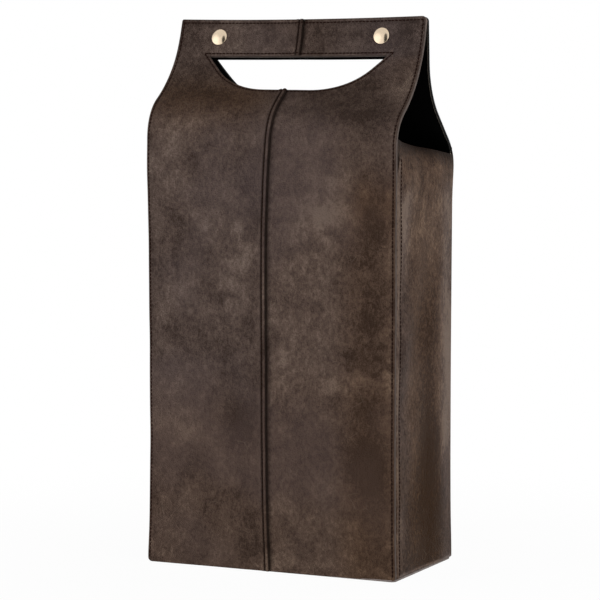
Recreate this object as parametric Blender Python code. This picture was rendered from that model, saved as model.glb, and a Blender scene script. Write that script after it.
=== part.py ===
"""Wine bottle bag for two bottles, in metres, +Z up.

The origin is the centre of the footprint, on the surface that the bag stands on. +X is to the
right seen from the front, and the front panel faces -Y. Front and back panels run up past the
sides, lean in over the bottles and meet in a handle held by two press studs. Each of these two
flaps turns outwards about its shoulder.
"""

import math

import bmesh
import bpy
from mathutils import Matrix, Vector

# Overall size
WIDTH = 0.190
DEPTH = 0.103
HEIGHT = 0.3855

# Layers of a wall, and the clearance between pieces that touch
LEATHER = 0.0011
BOARD = 0.0009
LINING = 0.0004
FIT = 0.0003
HINGE_SLIT = 0.0004

# Front flap: its rise above the shoulder, its two bends, and how far the band's line runs down
# below the press studs before it meets the slope
FRONT_RISE = 0.0875
FRONT_SHOULDER_RADIUS = 0.035
FRONT_HOLLOW_RADIUS = 0.057
FRONT_BAND_RUN = 0.0275
FRONT_BAND_LEAN = math.radians(12)

# Back flap, which stands steeper and has a tighter shoulder
BACK_RISE = 0.097
BACK_SHOULDER_RADIUS = 0.015
BACK_HOLLOW_RADIUS = 0.055
BACK_BAND_RUN = 0.0377
BACK_BAND_LEAN = math.radians(0)
FLAP_CORNER_RADIUS = 0.003

# Handhole, measured on the flat leather, and its distance from the flap's ends
HANDLE_BAND = 0.0275
HOLE_INSET = 0.028
HOLE_DEPTH = 0.028
HOLE_BEND_RADIUS = 0.040
HOLE_SIDE_ANGLE = math.radians(54)

# Press studs
SNAP_INSET = 0.032
SNAP_DROP = 0.013
SNAP_PLANE_Y = 0.0022
CAP_RADIUS = 0.0059
CAP_RIM = 0.0006
CAP_DOME = 0.0013
POST_RADIUS = 0.0015
SOCKET_RADIUS = 0.0052
SOCKET_HEIGHT = 0.0019
SOCKET_BORE = 0.0034
SOCKET_FLOOR = 0.0004
STUD_FLANGE_RADIUS = 0.0039
STUD_FLANGE = 0.0006
STUD_RADIUS = 0.0020
STUD_TIP_RADIUS = 0.0008
STUD_NECK = 0.0017
STUD_REACH = 0.0010
SNAP_AIR = 0.0013

# Centre seam of the front: the left half laps over the right one
LAP_WIDTH = 0.0050
LAP_THICKNESS = 0.0009
LAP_ROLL = 0.0006

# Sides and back
BACK_CORNER_RADIUS = 0.008
SIDE_CURL = 0.008
SIDE_CURL_HEIGHT = 0.028
STRIP_WIDTH = 0.0070
STRIP_THICKNESS = 0.0006
STRIP_TOP_DROP = 0.008

# Base
BASE_LEATHER = 0.0013
BASE_BOARD = 0.0018
BASE_FRONT_RADIUS = 0.0015

# Divider between the bottles
DIVIDER_HEIGHT = 0.200
DIVIDER_BOARD = 0.0012
DIVIDER_COVER = 0.0004

# Fineness of the meshes
BEND_STEP = math.radians(6)
TURN_SEGMENTS = 20
ARC_SEGMENTS = 8
CORNER_SEGMENTS = 4
CURL_ROWS = 5
SIDE_COLUMNS = 8

# Depths of the layers below the outer face of a wall
BOARD_FROM = LEATHER + FIT
BOARD_TO = BOARD_FROM + BOARD
LINING_FROM = BOARD_TO + FIT
LINING_TO = LINING_FROM + LINING
WALL = LINING_TO

LAP_PROUD = LAP_THICKNESS + FIT
SIDE_FACE_X = WIDTH / 2 - STRIP_THICKNESS - FIT
SIDE_FRONT_Y = -DEPTH / 2 + WALL + FIT
WALL_FOOT = BASE_LEATHER + FIT
FRONT_SHOULDER = HEIGHT - FRONT_RISE
BACK_SHOULDER = HEIGHT - BACK_RISE
FRONT_WALL_TOP = FRONT_SHOULDER - HINGE_SLIT
BACK_WALL_TOP = BACK_SHOULDER - HINGE_SLIT
SNAP_HEIGHT = HEIGHT - SNAP_DROP
SNAP_GAP = FIT + SOCKET_HEIGHT + SNAP_AIR + STUD_FLANGE + FIT
SNAP_X = WIDTH / 2 - SNAP_INSET
HOLE_HALF = WIDTH / 2 - HOLE_INSET


def clear_scene():
    for thing in list(bpy.data.objects):
        bpy.data.objects.remove(thing, do_unlink=True)


def material(name, colour, roughness, metallic=0.0):
    finish = bpy.data.materials.new(name)
    finish.use_nodes = True
    shader = finish.node_tree.nodes["Principled BSDF"]
    shader.inputs["Base Color"].default_value = (*colour, 1.0)
    shader.inputs["Roughness"].default_value = roughness
    shader.inputs["Metallic"].default_value = metallic
    finish.diffuse_color = (*colour, 1.0)
    return finish


def hinge_empty(name, position):
    empty = bpy.data.objects.new(name, None)
    empty.location = position
    bpy.context.scene.collection.objects.link(empty)
    bpy.context.view_layer.update()
    return empty


def add_object(name, bm, finish, parent=None, smooth=False):
    bmesh.ops.recalc_face_normals(bm, faces=bm.faces)
    mesh = bpy.data.meshes.new(name)
    bm.to_mesh(mesh)
    bm.free()
    if smooth:
        mesh.shade_smooth()
        mesh.set_sharp_from_angle(angle=math.radians(35))
    mesh.materials.append(finish)
    piece = bpy.data.objects.new(name, mesh)
    bpy.context.scene.collection.objects.link(piece)
    if parent is not None:
        piece.parent = parent
        piece.matrix_parent_inverse = parent.matrix_world.inverted()
    return piece


class FlapProfile:
    """Course of a flap's outer face: upright wall, shoulder bend, slope, hollow bend, band.

    Distances run inwards from the wall's outer face, and heights up from the ground.
    """

    def __init__(self, shoulder, shoulder_radius, hollow_radius, band_run, band_lean, band_in):
        self.shoulder = shoulder
        self.band_lean = band_lean
        band_dir = Vector((math.sin(band_lean), math.cos(band_lean)))
        snap = Vector((band_in, SNAP_HEIGHT))
        corner = snap - band_run * band_dir
        rise = corner.y - shoulder
        # The shoulder is no rounder than lets the slope still touch it
        widest = (corner.x ** 2 + rise ** 2) / (2 * corner.x)
        self.shoulder_radius = min(shoulder_radius, 0.9 * widest)
        reach = Vector((corner.x - self.shoulder_radius, rise))
        self.slope = (math.atan2(reach.y, -reach.x)
                      - math.acos(self.shoulder_radius / reach.length))
        self.slope_dir = Vector((math.sin(self.slope), math.cos(self.slope)))
        self.slope_start = Vector((self.shoulder_radius * (1 - math.cos(self.slope)),
                                   shoulder + self.shoulder_radius * math.sin(self.slope)))
        slope_run = (corner - self.slope_start).length
        half_turn = math.tan((self.slope - band_lean) / 2)
        # The hollow ends below the press stud, which lies on the straight band
        tangent = min(hollow_radius * half_turn, slope_run, band_run - SOCKET_RADIUS)
        self.hollow_radius = tangent / half_turn
        self.band_dir = band_dir
        self.band_start = corner + tangent * band_dir
        self.shoulder_length = self.shoulder_radius * self.slope
        self.slope_length = slope_run - tangent
        self.hollow_length = self.hollow_radius * (self.slope - band_lean)
        self.band_from = self.shoulder_length + self.slope_length + self.hollow_length
        self.length = self.band_from + (HEIGHT - self.band_start.y) / band_dir.y
        self.snap_at = self.band_from + (SNAP_HEIGHT - self.band_start.y) / band_dir.y

    def point(self, along):
        """Point on the outer face, as distance in and height, with the lean there."""
        if along <= 0:
            return Vector((0, self.shoulder + along)), 0.0
        if along < self.shoulder_length:
            lean = along / self.shoulder_radius
            run = self.shoulder_radius
            return Vector((run * (1 - math.cos(lean)), self.shoulder + run * math.sin(lean))), lean
        along -= self.shoulder_length
        if along < self.slope_length:
            return self.slope_start + along * self.slope_dir, self.slope
        along -= self.slope_length
        if along < self.hollow_length:
            lean = self.slope - along / self.hollow_radius
            centre = self.band_start + self.hollow_radius * Vector((-self.band_dir.y, self.band_dir.x))
            return centre + self.hollow_radius * Vector((math.cos(lean), -math.sin(lean))), lean
        return self.band_start + (along - self.hollow_length) * self.band_dir, self.band_lean

    def stations(self):
        """Lengths at which a plate is creased so that it follows the bends."""
        marks = []
        slope_end = self.shoulder_length + self.slope_length
        for start, length, turn in ((0, self.shoulder_length, self.slope),
                                    (slope_end, self.hollow_length, self.slope - self.band_lean)):
            steps = max(2, math.ceil(turn / BEND_STEP))
            marks += [start + length * step / steps for step in range(steps + 1)]
        return marks


def front_place(x, depth, along, profile=None):
    """World place of a point of the front: upright wall, or on the flap's profile."""
    if profile is None:
        return Vector((x, -DEPTH / 2 + depth, along))
    spot, lean = profile.point(along)
    return Vector((x, -DEPTH / 2 + spot.x + depth * math.cos(lean), spot.y - depth * math.sin(lean)))


def back_place(x, depth, along, profile=None):
    spot = front_place(x, depth, along, profile)
    return Vector((spot.x, -spot.y, spot.z))


def flat_place(x, depth, along):
    """Place of a point of the leather while it lies flat, before it is bent."""
    return Vector((x, depth, along))


def prism(outline, low, high, to_point):
    """Closed solid between two copies of an outline, at the values low and high."""
    bm = bmesh.new()
    ends = [[bm.verts.new(to_point(a, b, value)) for a, b in outline] for value in (low, high)]
    bm.faces.new(ends[0])
    bm.faces.new(ends[1][::-1])
    for index in range(len(outline)):
        following = (index + 1) % len(outline)
        bm.faces.new((ends[0][index], ends[1][index], ends[1][following], ends[0][following]))
    bmesh.ops.recalc_face_normals(bm, faces=bm.faces)
    return bm


def arc(centre, radius, start, end, segments):
    """Points along an arc about a centre, both ends included."""
    return [(centre[0] + radius * math.cos(start + (end - start) * step / segments),
             centre[1] + radius * math.sin(start + (end - start) * step / segments))
            for step in range(segments + 1)]


def hole_outline(top):
    """Handhole on the flat leather: straight top, slanted sides, round lower corners."""
    rise = HOLE_BEND_RADIUS * (1 - math.cos(HOLE_SIDE_ANGLE))
    lean_out = (HOLE_DEPTH - rise) / math.tan(HOLE_SIDE_ANGLE)
    flat = HOLE_HALF - lean_out - HOLE_BEND_RADIUS * math.sin(HOLE_SIDE_ANGLE)
    middle = top - HOLE_DEPTH + HOLE_BEND_RADIUS
    right = arc((flat, middle), HOLE_BEND_RADIUS, -math.pi / 2, -math.pi / 2 + HOLE_SIDE_ANGLE,
                ARC_SEGMENTS)
    right.append((HOLE_HALF, top))
    return right + [(-x, along) for x, along in reversed(right)]


def corner_outline(side, top):
    """What is cut off an upper corner of a flap to round it."""
    radius = FLAP_CORNER_RADIUS
    edge = WIDTH / 2
    rounded = arc((edge - radius, top - radius), radius, 0, math.pi / 2, CORNER_SEGMENTS)
    outside = [(edge - radius, top + radius), (edge + radius, top + radius),
               (edge + radius, top - radius)]
    return [(side * x, along) for x, along in rounded + outside]


def flat_cutters(profile):
    """Cutters for the handhole, the upper corners and the press studs' holes, while flat."""
    through = 4 * WALL
    outlines = [hole_outline(profile.length - HANDLE_BAND)]
    for side in (-1, 1):
        outlines.append(corner_outline(side, profile.length))
        outlines.append(arc((side * SNAP_X, profile.snap_at), POST_RADIUS + FIT,
                            0, 2 * math.pi * (1 - 1 / TURN_SEGMENTS), TURN_SEGMENTS - 1))
    return [prism(outline, -through, through, lambda x, along, depth: flat_place(x, depth, along))
            for outline in outlines]


def cut_flat(bm, cutters):
    """Cuts each cutter out of a solid with an exact Boolean."""
    mesh = bpy.data.meshes.new("flat_leather")
    bm.to_mesh(mesh)
    bm.free()
    blank = bpy.data.objects.new("flat_leather", mesh)
    bpy.context.scene.collection.objects.link(blank)
    tools = []
    for cutter in cutters:
        tool_mesh = bpy.data.meshes.new("cutter")
        cutter.to_mesh(tool_mesh)
        cutter.free()
        tool = bpy.data.objects.new("cutter", tool_mesh)
        bpy.context.scene.collection.objects.link(tool)
        tool.hide_render = True
        tool.display_type = "WIRE"
        modifier = blank.modifiers.new("cut", "BOOLEAN")
        modifier.operation = "DIFFERENCE"
        modifier.solver = "EXACT"
        modifier.object = tool
        tools.append(tool)
    result = bmesh.new()
    result.from_object(blank, bpy.context.evaluated_depsgraph_get())
    for thing in [blank, *tools]:
        bpy.data.objects.remove(thing, do_unlink=True)
    return result


def box_outline(low_x, high_x, low_depth, high_depth):
    return [(low_x, low_depth), (high_x, low_depth), (high_x, high_depth), (low_x, high_depth)]


def lapped_outline():
    """Section of the front's left half, with the folded edge that laps over the right half."""
    root = -LAP_WIDTH
    return [(-WIDTH / 2, 0), (root - LAP_THICKNESS - LAP_ROLL, 0), (root - LAP_ROLL, -LAP_PROUD),
            (-LAP_ROLL, -LAP_PROUD), (0, -LAP_PROUD + LAP_ROLL / 2), (0, -FIT), (root, -FIT),
            (root, LEATHER), (-WIDTH / 2, LEATHER)]


def right_outline():
    return box_outline(-LAP_WIDTH + FIT, WIDTH / 2, 0, LEATHER)


def wall_plate(name, outline, top, place, finish):
    """Upright plate of a wall, from the base up to the slit below the flap."""
    return add_object(name, prism(outline, WALL_FOOT, top, place), finish)


def flap_plate(name, outline, profile, place, finish, parent):
    """Plate of a flap: cut flat, creased at the profile's stations, then bent over it."""
    bm = prism(outline, HINGE_SLIT, profile.length, flat_place)
    bm = cut_flat(bm, flat_cutters(profile))
    for mark in profile.stations():
        bmesh.ops.bisect_plane(bm, geom=bm.verts[:] + bm.edges[:] + bm.faces[:],
                               dist=1e-7, plane_co=(0, 0, mark), plane_no=(0, 0, 1))
    for vert in bm.verts:
        vert.co = place(vert.co.x, vert.co.y, vert.co.z, profile)
    bmesh.ops.triangulate(bm, faces=bm.faces)
    return add_object(name, bm, finish, parent, smooth=True)


def turned(name, section, origin, normal, finish, parent):
    """Round piece turned about its axis, from a section of radius and height pairs."""
    bm = bmesh.new()
    placing = Matrix.Translation(origin) @ normal.to_track_quat("Z", "Y").to_matrix().to_4x4()
    rings = []
    for radius, height in section:
        if radius == 0:
            rings.append([bm.verts.new(placing @ Vector((0, 0, height)))])
            continue
        turns = [2 * math.pi * step / TURN_SEGMENTS for step in range(TURN_SEGMENTS)]
        rings.append([bm.verts.new(placing @ Vector((radius * math.cos(turn),
                                                     radius * math.sin(turn), height)))
                      for turn in turns])
    for lower, upper in zip(rings, rings[1:]):
        for step in range(TURN_SEGMENTS):
            after = (step + 1) % TURN_SEGMENTS
            corners = [lower[step % len(lower)], lower[after % len(lower)],
                       upper[after % len(upper)], upper[step % len(upper)]]
            bm.faces.new(list(dict.fromkeys(corners)))
    return add_object(name, bm, finish, parent, smooth=True)


def cap_section():
    """Domed cap with the post that goes through the flap, heights out from the leather."""
    rim_top = FIT + CAP_RIM
    dome = [(CAP_RADIUS * math.cos(turn), rim_top + CAP_DOME * math.sin(turn))
            for turn in (0, math.pi / 6, math.pi / 3)]
    return [(0, -WALL + FIT), (POST_RADIUS, -WALL + FIT), (POST_RADIUS, FIT),
            (CAP_RADIUS, FIT), *dome, (0, rim_top + CAP_DOME)]


def socket_section():
    """Socket on the front flap's lining, heights in towards the other flap."""
    face = FIT + SOCKET_HEIGHT
    chamfer = SOCKET_HEIGHT / 6
    return [(0, FIT), (SOCKET_RADIUS, FIT), (SOCKET_RADIUS, face - chamfer),
            (SOCKET_RADIUS - chamfer, face), (SOCKET_BORE, face),
            (SOCKET_BORE, FIT + SOCKET_FLOOR), (0, FIT + SOCKET_FLOOR)]


def stud_section():
    """Stud on the back flap's lining, with a round head that reaches into the socket."""
    flange_top = FIT + STUD_FLANGE
    tip = flange_top + SNAP_AIR + STUD_REACH
    rounding = STUD_RADIUS - STUD_TIP_RADIUS
    head = [(STUD_TIP_RADIUS + rounding * math.cos(turn), tip - rounding * (1 - math.sin(turn)))
            for turn in (0, math.pi / 4, math.pi / 2)]
    return [(0, FIT), (STUD_FLANGE_RADIUS, FIT), (STUD_FLANGE_RADIUS, flange_top),
            (STUD_NECK, flange_top), *head, (0, tip)]


def side_share(y):
    """How far back along a side a point lies, from 0 at the front to 1 at the back corner."""
    return min(1, max(0, (y - SIDE_FRONT_Y) / (DEPTH / 2 - BACK_CORNER_RADIUS - SIDE_FRONT_Y)))


def side_top(y):
    """Height of the side's top edge, which runs from the front wall's top to the back wall's."""
    return FRONT_WALL_TOP + (BACK_WALL_TOP - FRONT_WALL_TOP) * side_share(y)


def curl(y, z):
    """How far the soft top of a side rolls in, widest halfway between front and back."""
    rise = max(0.0, 1 - (side_top(y) - z) / SIDE_CURL_HEIGHT)
    return SIDE_CURL * math.sin(math.pi * side_share(y)) ** 2 * rise ** 2


def wrap_course(depth):
    """Course of the one piece that makes both sides and the back, at a depth below its face."""
    corner_y = DEPTH / 2 - BACK_CORNER_RADIUS
    corner_x = SIDE_FACE_X - BACK_CORNER_RADIUS
    side = [(SIDE_FACE_X - depth, SIDE_FRONT_Y + (corner_y - SIDE_FRONT_Y) * step / SIDE_COLUMNS)
            for step in range(SIDE_COLUMNS)]
    turn = arc((corner_x, corner_y), BACK_CORNER_RADIUS - depth, 0, math.pi / 2, ARC_SEGMENTS)
    half = side + turn
    return half + [(-x, y) for x, y in reversed(half)]


def wrap(name, low_depth, high_depth, foot, finish):
    """Closed U-shaped wall whose side tops slope to the back and roll in."""
    bm = bmesh.new()
    shells = []
    for depth in (low_depth, high_depth):
        columns = []
        for x, y in wrap_course(depth):
            heights = [foot] + [side_top(y) - SIDE_CURL_HEIGHT * (1 - step / CURL_ROWS)
                                for step in range(CURL_ROWS + 1)]
            columns.append([bm.verts.new((x - math.copysign(curl(y, z), x), y, z)) for z in heights])
        shells.append(columns)
    outer, inner = shells
    rows = CURL_ROWS + 2
    for index in range(len(outer) - 1):
        for row in range(rows - 1):
            bm.faces.new((outer[index][row], outer[index + 1][row],
                          outer[index + 1][row + 1], outer[index][row + 1]))
            bm.faces.new((inner[index][row + 1], inner[index + 1][row + 1],
                          inner[index + 1][row], inner[index][row]))
        for row in (0, rows - 1):
            bm.faces.new((outer[index][row], inner[index][row],
                          inner[index + 1][row], outer[index + 1][row]))
    for index in (0, -1):
        for row in range(rows - 1):
            bm.faces.new((outer[index][row], outer[index][row + 1],
                          inner[index][row + 1], inner[index][row]))
    bmesh.ops.triangulate(bm, faces=bm.faces)
    return add_object(name, bm, finish, smooth=True)


def footprint(inset, front_y, front_radius):
    """Outline of a base layer, with small front corners and large back ones."""
    half = WIDTH / 2 - inset
    back_radius = max(front_radius, BACK_CORNER_RADIUS - inset)
    back_y = DEPTH / 2 - inset
    right = arc((half - front_radius, front_y + front_radius), front_radius, -math.pi / 2, 0,
                CORNER_SEGMENTS)
    right += arc((half - back_radius, back_y - back_radius), back_radius, 0, math.pi / 2, ARC_SEGMENTS)
    return right + [(-x, y) for x, y in reversed(right)]


def level(x, y, z):
    """Place of a point of an outline that lies level, at a height."""
    return Vector((x, y, z))


def upright_slab(name, low, high, finish):
    """Flat board standing in the bag, from its lowest to its highest corner."""
    outline = [(low[0], low[1]), (high[0], low[1]), (high[0], high[1]), (low[0], high[1])]
    return add_object(name, prism(outline, low[2], high[2], level), finish)


def build_walls(leather, board, lining):
    edge = WIDTH / 2 - FIT
    wall_plate("front_panel_left", lapped_outline(), FRONT_WALL_TOP, front_place, leather)
    wall_plate("front_panel_right", right_outline(), FRONT_WALL_TOP, front_place, leather)
    wall_plate("front_board", box_outline(-edge, edge, BOARD_FROM, BOARD_TO), FRONT_WALL_TOP,
               front_place, board)
    wall_plate("front_lining", box_outline(-edge, edge, LINING_FROM, LINING_TO), FRONT_WALL_TOP,
               front_place, lining)
    wrap("side_and_back_panel", 0, LEATHER, WALL_FOOT, leather)
    wrap("side_and_back_lining", LINING_FROM, LINING_TO, WALL_FOOT, lining)
    flat_half = SIDE_FACE_X - BACK_CORNER_RADIUS
    wall_plate("back_board", box_outline(-flat_half, flat_half, BOARD_FROM, BOARD_TO), BACK_WALL_TOP,
               back_place, board)
    board_top = BACK_WALL_TOP - SIDE_CURL_HEIGHT - FIT
    strip_top = FRONT_WALL_TOP - STRIP_TOP_DROP
    for side, label in ((-1, "left"), (1, "right")):
        xs = sorted(side * (SIDE_FACE_X - depth) for depth in (BOARD_FROM, BOARD_TO))
        upright_slab("side_board_" + label, (xs[0], SIDE_FRONT_Y, WALL_FOOT),
                     (xs[1], DEPTH / 2 - BACK_CORNER_RADIUS, board_top), board)
        xs = sorted((side * (SIDE_FACE_X + FIT), side * WIDTH / 2))
        upright_slab("corner_strip_" + label, (xs[0], SIDE_FRONT_Y, WALL_FOOT),
                     (xs[1], SIDE_FRONT_Y + STRIP_WIDTH, strip_top), leather)


def build_base(leather, board, lining):
    bm = prism(footprint(0, -DEPTH / 2, BASE_FRONT_RADIUS), 0, BASE_LEATHER, level)
    add_object("base_panel", bm, leather)
    inset = WIDTH / 2 - SIDE_FACE_X + WALL + FIT
    front_y = SIDE_FRONT_Y + FIT
    low = WALL_FOOT
    for name, thickness, finish in (("base_board", BASE_BOARD, board), ("base_lining", LINING, lining)):
        bm = prism(footprint(inset, front_y, BASE_FRONT_RADIUS), low, low + thickness, level)
        add_object(name, bm, finish)
        low += thickness + FIT
    return low


def build_divider(floor, board, lining):
    front_y = SIDE_FRONT_Y + FIT
    back_y = DEPTH / 2 - WALL - FIT
    half = DIVIDER_BOARD / 2
    upright_slab("divider_board", (-half, front_y, floor), (half, back_y, DIVIDER_HEIGHT), board)
    for side, label in ((-1, "left"), (1, "right")):
        xs = sorted((side * (half + FIT), side * (half + FIT + DIVIDER_COVER)))
        upright_slab("divider_cover_" + label, (xs[0], front_y, floor), (xs[1], back_y, DIVIDER_HEIGHT),
                     lining)


def build_flap(label, profile, place, layers, parent):
    """One flap's layers, each a plate bent over the same profile."""
    for name, outline, finish in layers:
        flap_plate(f"{label}_{name}", outline, profile, place, finish, parent)


def build_snap_half(label, fastener, section, profile, place, metal, parent):
    """Two caps outside a flap, and the sockets or studs inside it."""
    lean = profile.point(profile.snap_at)[1]
    facing = math.copysign(1, place(0, 0, 0).y)
    outward = Vector((0, facing * math.cos(lean), math.sin(lean)))
    for side, hand in ((-1, "left"), (1, "right")):
        outer = place(side * SNAP_X, 0, profile.snap_at, profile)
        turned(f"{label}_cap_{hand}", cap_section(), outer, outward, metal, parent)
        inner = place(side * SNAP_X, WALL, profile.snap_at, profile)
        turned(f"{label}_{fastener}_{hand}", section, inner, -outward, metal, parent)


def build():
    clear_scene()
    leather = material("brown_leather", (0.075, 0.052, 0.043), 0.5)
    board = material("grey_board", (0.20, 0.17, 0.14), 0.9)
    lining = material("black_lining", (0.008, 0.008, 0.008), 0.85)
    gold = material("pale_gold", (0.85, 0.68, 0.42), 0.25, 1.0)

    build_walls(leather, board, lining)
    floor = build_base(leather, board, lining)
    build_divider(floor, board, lining)

    edge = WIDTH / 2 - FIT
    inner_layers = [("board", box_outline(-edge, edge, BOARD_FROM, BOARD_TO), board),
                    ("lining", box_outline(-edge, edge, LINING_FROM, LINING_TO), lining)]

    front_inner = SNAP_PLANE_Y - SNAP_GAP / 2
    band_in = front_inner - WALL / math.cos(FRONT_BAND_LEAN) + DEPTH / 2
    front = FlapProfile(FRONT_SHOULDER, FRONT_SHOULDER_RADIUS, FRONT_HOLLOW_RADIUS,
                        FRONT_BAND_RUN, FRONT_BAND_LEAN, band_in)
    front_hinge = hinge_empty("front_shoulder", (0, -DEPTH / 2 - LAP_PROUD - FIT, FRONT_SHOULDER))
    build_flap("front_flap", front, front_place,
               [("left", lapped_outline(), leather), ("right", right_outline(), leather), *inner_layers],
               front_hinge)
    build_snap_half("front", "socket", socket_section(), front, front_place, gold, front_hinge)

    back_inner = SNAP_PLANE_Y + SNAP_GAP / 2
    band_in = DEPTH / 2 - (back_inner + WALL / math.cos(BACK_BAND_LEAN))
    back = FlapProfile(BACK_SHOULDER, BACK_SHOULDER_RADIUS, BACK_HOLLOW_RADIUS,
                       BACK_BAND_RUN, BACK_BAND_LEAN, band_in)
    back_hinge = hinge_empty("back_shoulder", (0, DEPTH / 2 + FIT, BACK_SHOULDER))
    build_flap("back_flap", back, back_place,
               [("leather", box_outline(-WIDTH / 2, WIDTH / 2, 0, LEATHER), leather), *inner_layers],
               back_hinge)
    build_snap_half("back", "stud", stud_section(), back, back_place, gold, back_hinge)


build()
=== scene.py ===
"""Looks of the wine bottle bag, built around its packed CAD model.

Every layer of the bag is cut as a flat pattern and laid over the course of its wall, so leather,
board, lining, painted edges and thread all follow the same curves. Pattern work is in millimetres,
the meshes are in metres. The front faces -Y.
"""

import math
import random

import bpy
import numpy as np
from bpy.props import FloatProperty, FloatVectorProperty, PointerProperty
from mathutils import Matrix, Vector
from mathutils.geometry import delaunay_2d_cdt


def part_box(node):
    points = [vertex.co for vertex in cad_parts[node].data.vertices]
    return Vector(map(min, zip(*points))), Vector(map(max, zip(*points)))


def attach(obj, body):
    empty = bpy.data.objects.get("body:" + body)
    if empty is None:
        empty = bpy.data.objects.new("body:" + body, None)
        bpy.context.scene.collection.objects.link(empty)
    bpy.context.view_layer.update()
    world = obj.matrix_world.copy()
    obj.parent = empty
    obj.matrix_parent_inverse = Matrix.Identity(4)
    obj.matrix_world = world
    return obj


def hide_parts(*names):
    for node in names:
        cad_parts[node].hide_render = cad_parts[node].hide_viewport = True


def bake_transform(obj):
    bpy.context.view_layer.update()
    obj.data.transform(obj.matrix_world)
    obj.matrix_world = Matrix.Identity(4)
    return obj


bl_info = {
    "name": "Wine Bottle Bag",
    "version": (1, 0, 0),
    "blender": (4, 5, 0),
    "location": "3D View > Sidebar > Bottle Bag",
    "description": "Leather, lining, thread and press studs of a bag for two wine bottles",
    "category": "Object",
}

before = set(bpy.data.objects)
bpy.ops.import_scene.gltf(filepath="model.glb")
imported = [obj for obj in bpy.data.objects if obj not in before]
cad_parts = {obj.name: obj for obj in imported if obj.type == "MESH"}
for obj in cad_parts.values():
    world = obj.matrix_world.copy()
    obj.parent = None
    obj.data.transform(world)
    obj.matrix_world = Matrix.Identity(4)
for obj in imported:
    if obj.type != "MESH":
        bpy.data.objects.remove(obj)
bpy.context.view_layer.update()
MM = 0.001


def cad_box(node):
    """Lowest and highest corner of a CAD node, in millimetres."""
    low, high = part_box(node)
    return np.array(low) / MM, np.array(high) / MM


def cad_centre(node):
    low, high = cad_box(node)
    return (low + high) / 2


HALF_WIDTH = cad_box("front_flap_board")[1][0] + 0.3
FOOT = cad_box("front_board")[0][2]
BASE_TOP = cad_box("base_panel")[1][2]
SIDE_FACE = cad_box("side_and_back_panel")[1][0] + 0.5
DIVIDER_TOP = cad_box("divider_board")[1][2]
FLOOR_TOP = cad_box("base_lining")[1][2]
CAP_RADIUS = (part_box("front_cap_right")[1].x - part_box("front_cap_right")[0].x) / 2  # metres

# Layers of a wall, measured in from the outer face, and the gap left between loose pieces
LEATHER = 1.1
BOARD_FROM, BOARD_TO = 1.4, 2.3
LINING_FROM, LINING_TO = 2.6, 3.0
GAP = 0.05

# Radii of a wall's corners, the lowest edge of the front's leather, and how much smaller the
# layers inside are cut
TOP_CORNER = 3.0
TIGHT_CORNER = 1.2
LEATHER_FOOT = 0.3
CUT_BACK = 0.25

# Lapped seam down the middle of the front
LAP = 3.9
LAP_RISE = 1.1
LAP_STITCH = 3.0
ON_RIGHT_HALF = -0.22
SEAM = [(0, 0.6), (15, 0.0), (30, -0.75), (50, -1.65), (78, -2.2), (134, -2.6), (175, -2.5),
        (218, -2.65), (240, -2.05), (260, -1.45), (273, -0.95), (287, -0.1), (300, 0.9),
        (312, 1.35), (326, 1.15), (340, 1.2), (376, 2.8), (404, 2.1)]

# The walls draw in below the shoulder and stand out again at the base: a share for each height
WAIST = [(0, -0.5), (8, -0.42), (15, -0.2), (29, 0.3), (58, 0.78), (101, 0.97), (144, 1.0),
         (186, 0.82), (229, 0.58), (257, 0.38), (285, 0.0), (300, 0.0), (420, 0.0)]
WAIST_ACROSS = 0.0068
TOP_SAG = 1.2

# Top edge of a side: its height for each distance back from the middle of the bag, the height
# at which that distance is read, and how far the edge rolls in
SIDE_TOP = [(-60, 303.4), (-46.5, 302.4), (-25.7, 300.3), (-8.1, 298.3), (9.8, 295.8),
            (28.1, 293.0), (43.0, 290.5), (51.8, 288.9), (60, 287.6)]
SIDE_LEVEL = 290.0
SIDE_ROLL = 8.5
SIDE_ROLL_HEIGHT = 28.0

# Back corners: where the corner starts across the back and down the side, on the flat pattern
CORNER_FROM, CORNER_TO = 89.0, 101.0
SIDE_END = 187.0
SIDE_BOARD_TOP = 262.0
SIDES = ((1, "left"), (-1, "right"))

# Half the width of the back flap, and the slit that frees it from the sides
CUT = 95.0
SLIT = 0.3

# Height of the lowest stitches, and how deep the thread lies in the back's leather
FIRST_STITCH = FOOT + 1.5
THREAD_BED = 0.24

# Strips along the front edges of the sides, and where the slit beside them starts, whose black is
# painted shade
STRIP_FRONT = SIDE_END - 0.2
STRIP_TOP = 290.5
STRIP_FACE = -0.72
STRIP_STITCH = 1.15
SLIT_FROM = 281

# Unevenness of the front and the back, and how far apart its humps are
UNEVEN = 0.22
UNEVEN_REACH = 42


def smooth(share):
    share = np.clip(share, 0, 1)
    return share * share * (3 - 2 * share)


def hump(at, middle, reach):
    """Soft hump of height 1 about a middle."""
    return np.exp(-((at - middle) / reach) ** 2)


def curve_through(points, at):
    """Smooth curve through pairs of position and value, read at some positions."""
    xs, ys = np.array(points, float).T
    slopes = np.gradient(ys, xs)
    index = np.clip(np.searchsorted(xs, at) - 1, 0, len(xs) - 2)
    gap = xs[index + 1] - xs[index]
    t = np.clip((at - xs[index]) / gap, 0, 1)
    return ((2 * t ** 3 - 3 * t ** 2 + 1) * ys[index] + (3 * t ** 2 - 2 * t ** 3) * ys[index + 1]
            + (t ** 3 - 2 * t ** 2 + t) * gap * slopes[index]
            + (t ** 3 - t ** 2) * gap * slopes[index + 1])


def ripples(across, up, seed, reach):
    """Soft unevenness of hide, about -1 to 1, with humps about reach apart."""
    draw = random.Random(seed)
    total = np.zeros_like(across)
    waves = 14
    for _ in range(waves):
        turn = draw.uniform(0, math.pi)
        length = reach * draw.uniform(0.7, 2.2)
        phase = draw.uniform(0, 2 * math.pi)
        along = across * math.cos(turn) + up * math.sin(turn)
        total += np.sin(along * 2 * math.pi / length + phase)
    return total / math.sqrt(waves)


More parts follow.
